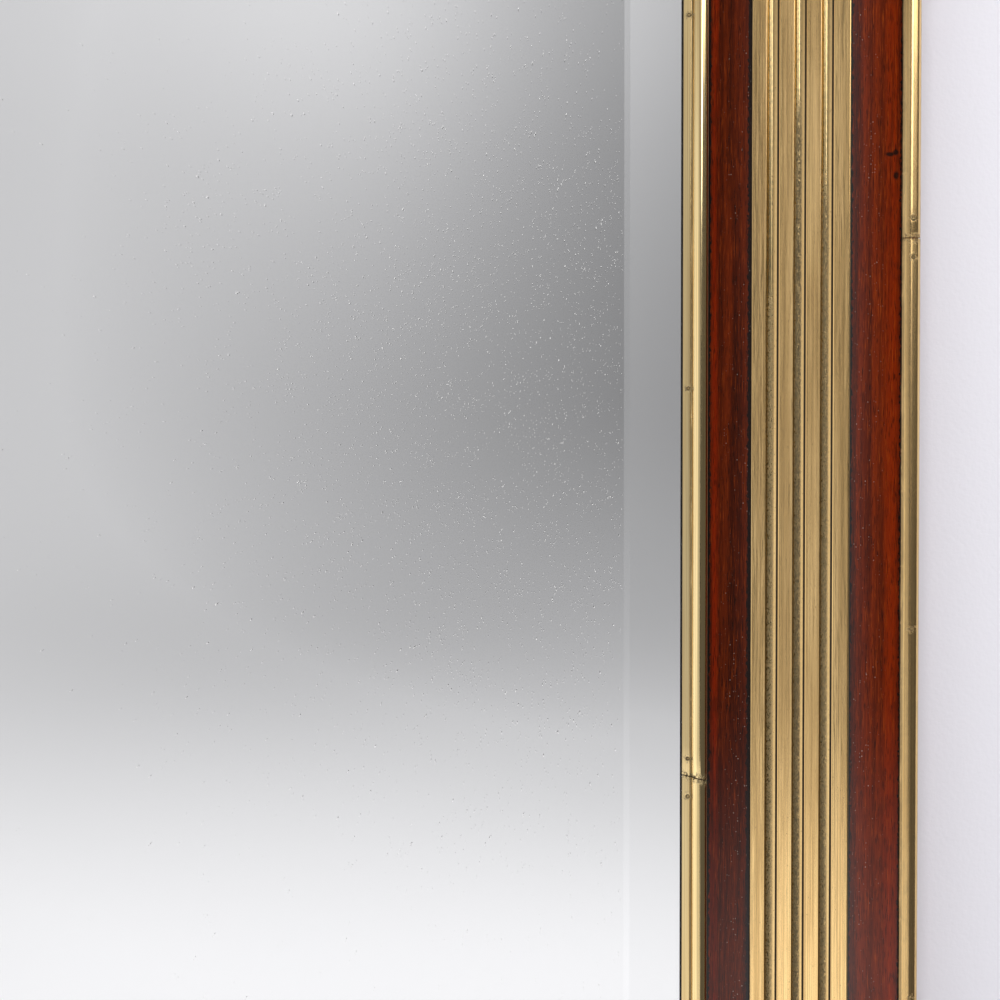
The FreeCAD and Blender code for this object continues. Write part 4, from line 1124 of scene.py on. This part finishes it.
lit = room.node("ShaderNodeBackground", {"Color": room.vector(mixed, mixed, mixed * 1.02)})
plain = room.node("ShaderNodeBackground", {"Color": ROOM_GREY})
both = room.node("ShaderNodeMixShader", {0: light_path, 1: lit, 2: plain})
room.node("ShaderNodeOutputWorld", {"Surface": both})


def one_sided_paint(paint, gone, sockets):
    """Paint that is clear from behind, and where gone is 1."""
    painted = paint.node("ShaderNodeBsdfPrincipled", sockets)
    clear = paint.node("ShaderNodeBsdfTransparent")
    behind = paint.node("ShaderNodeNewGeometry", outlet="Backfacing")
    paint.output(paint.node("ShaderNodeMixShader", {0: behind.most(gone), 1: painted, 2: clear}))
    return paint.material


# Wall: open from behind, and to light that falls on the back of the frame
WALL_HALF = 1.8
WALL_BEHIND = 0.0005
wall_paint = Finish("wall_paint")
roller = wall_paint.noise(wall_paint.vector(wall_paint.x / 2.4, 0.0, wall_paint.z / 2.4), 3.0, 0.6)
path = wall_paint.node("ShaderNodeLightPath", outlet="Ray Length")
shadow_ray = wall_paint.node("ShaderNodeLightPath", outlet="Is Shadow Ray")
diffuse_ray = wall_paint.node("ShaderNodeLightPath", outlet="Is Diffuse Ray")
near_back = path.between(0.045, 0.03) * shadow_ray.most(diffuse_ray)
faded = apart(wall_paint.x, wall_paint.z).between(1000.0, 1700.0)
sockets = {
    "Base Color": (0.83, 0.82, 0.87),
    "Roughness": 0.85,
    "Specular IOR Level": 0.2,
    "Normal": wall_paint.bump(roller, 0.16),
}
wall = new_piece(
    "wall",
    rectangle(-WALL_HALF, -WALL_HALF, WALL_HALF, WALL_HALF, WALL_BEHIND),
    one_sided_paint(wall_paint, faded.most(near_back), sockets),
)

# Floor: pale, seen from above only
FLOOR_HALF = 2.0
FLOOR_LEVEL = -0.95
floor_paint = Finish("floor_paint")
screed = floor_paint.noise(floor_paint.vector(floor_paint.x / 4, floor_paint.y / 4, 0.0), 3.0)
faded = apart(floor_paint.x, floor_paint.y).between(1000.0, 1900.0)
faded = faded.most(floor_paint.y.between(-700.0, -60.0))
corners = [(-FLOOR_HALF, -FLOOR_HALF), (FLOOR_HALF, -FLOOR_HALF), (FLOOR_HALF, 0.0), (-FLOOR_HALF, 0.0)]
sockets = {"Base Color": (0.80, 0.79, 0.78), "Roughness": 0.8, "Normal": floor_paint.bump(screed, 0.05)}
floor = new_piece(
    "floor",
    [(x, y, FLOOR_LEVEL) for x, y in corners],
    one_sided_paint(floor_paint, faded, sockets),
)


# Lamps
LAMPS_LOOK_AT = Vector((0.2, 0, 0))


def soft_lamp(name, place, size, power):
    """A square lamp that looks at the middle of the mirror's right side."""
    data = bpy.data.lights.new(name, "AREA")
    data.shape = "SQUARE"
    data.size = size
    data.energy = power
    lamp = placed(name, data)
    lamp.location = place
    lamp.rotation_mode = "QUATERNION"
    lamp.rotation_quaternion = (LAMPS_LOOK_AT - lamp.location).to_track_quat("-Z", "Y")
    lamp.visible_camera = False
    lamp.visible_glossy = False


soft_lamp("high_right_lamp", (1.6, -2.0, 1.4), size=1.4, power=40.0)
soft_lamp("high_left_lamp", (-1.2, -1.8, 2.0), size=1.4, power=3.6)
soft_lamp("front_lamp", (0.02, -1.9, 0.9), size=0.25, power=4.5)

bpy.context.scene.view_settings.view_transform = "Standard"
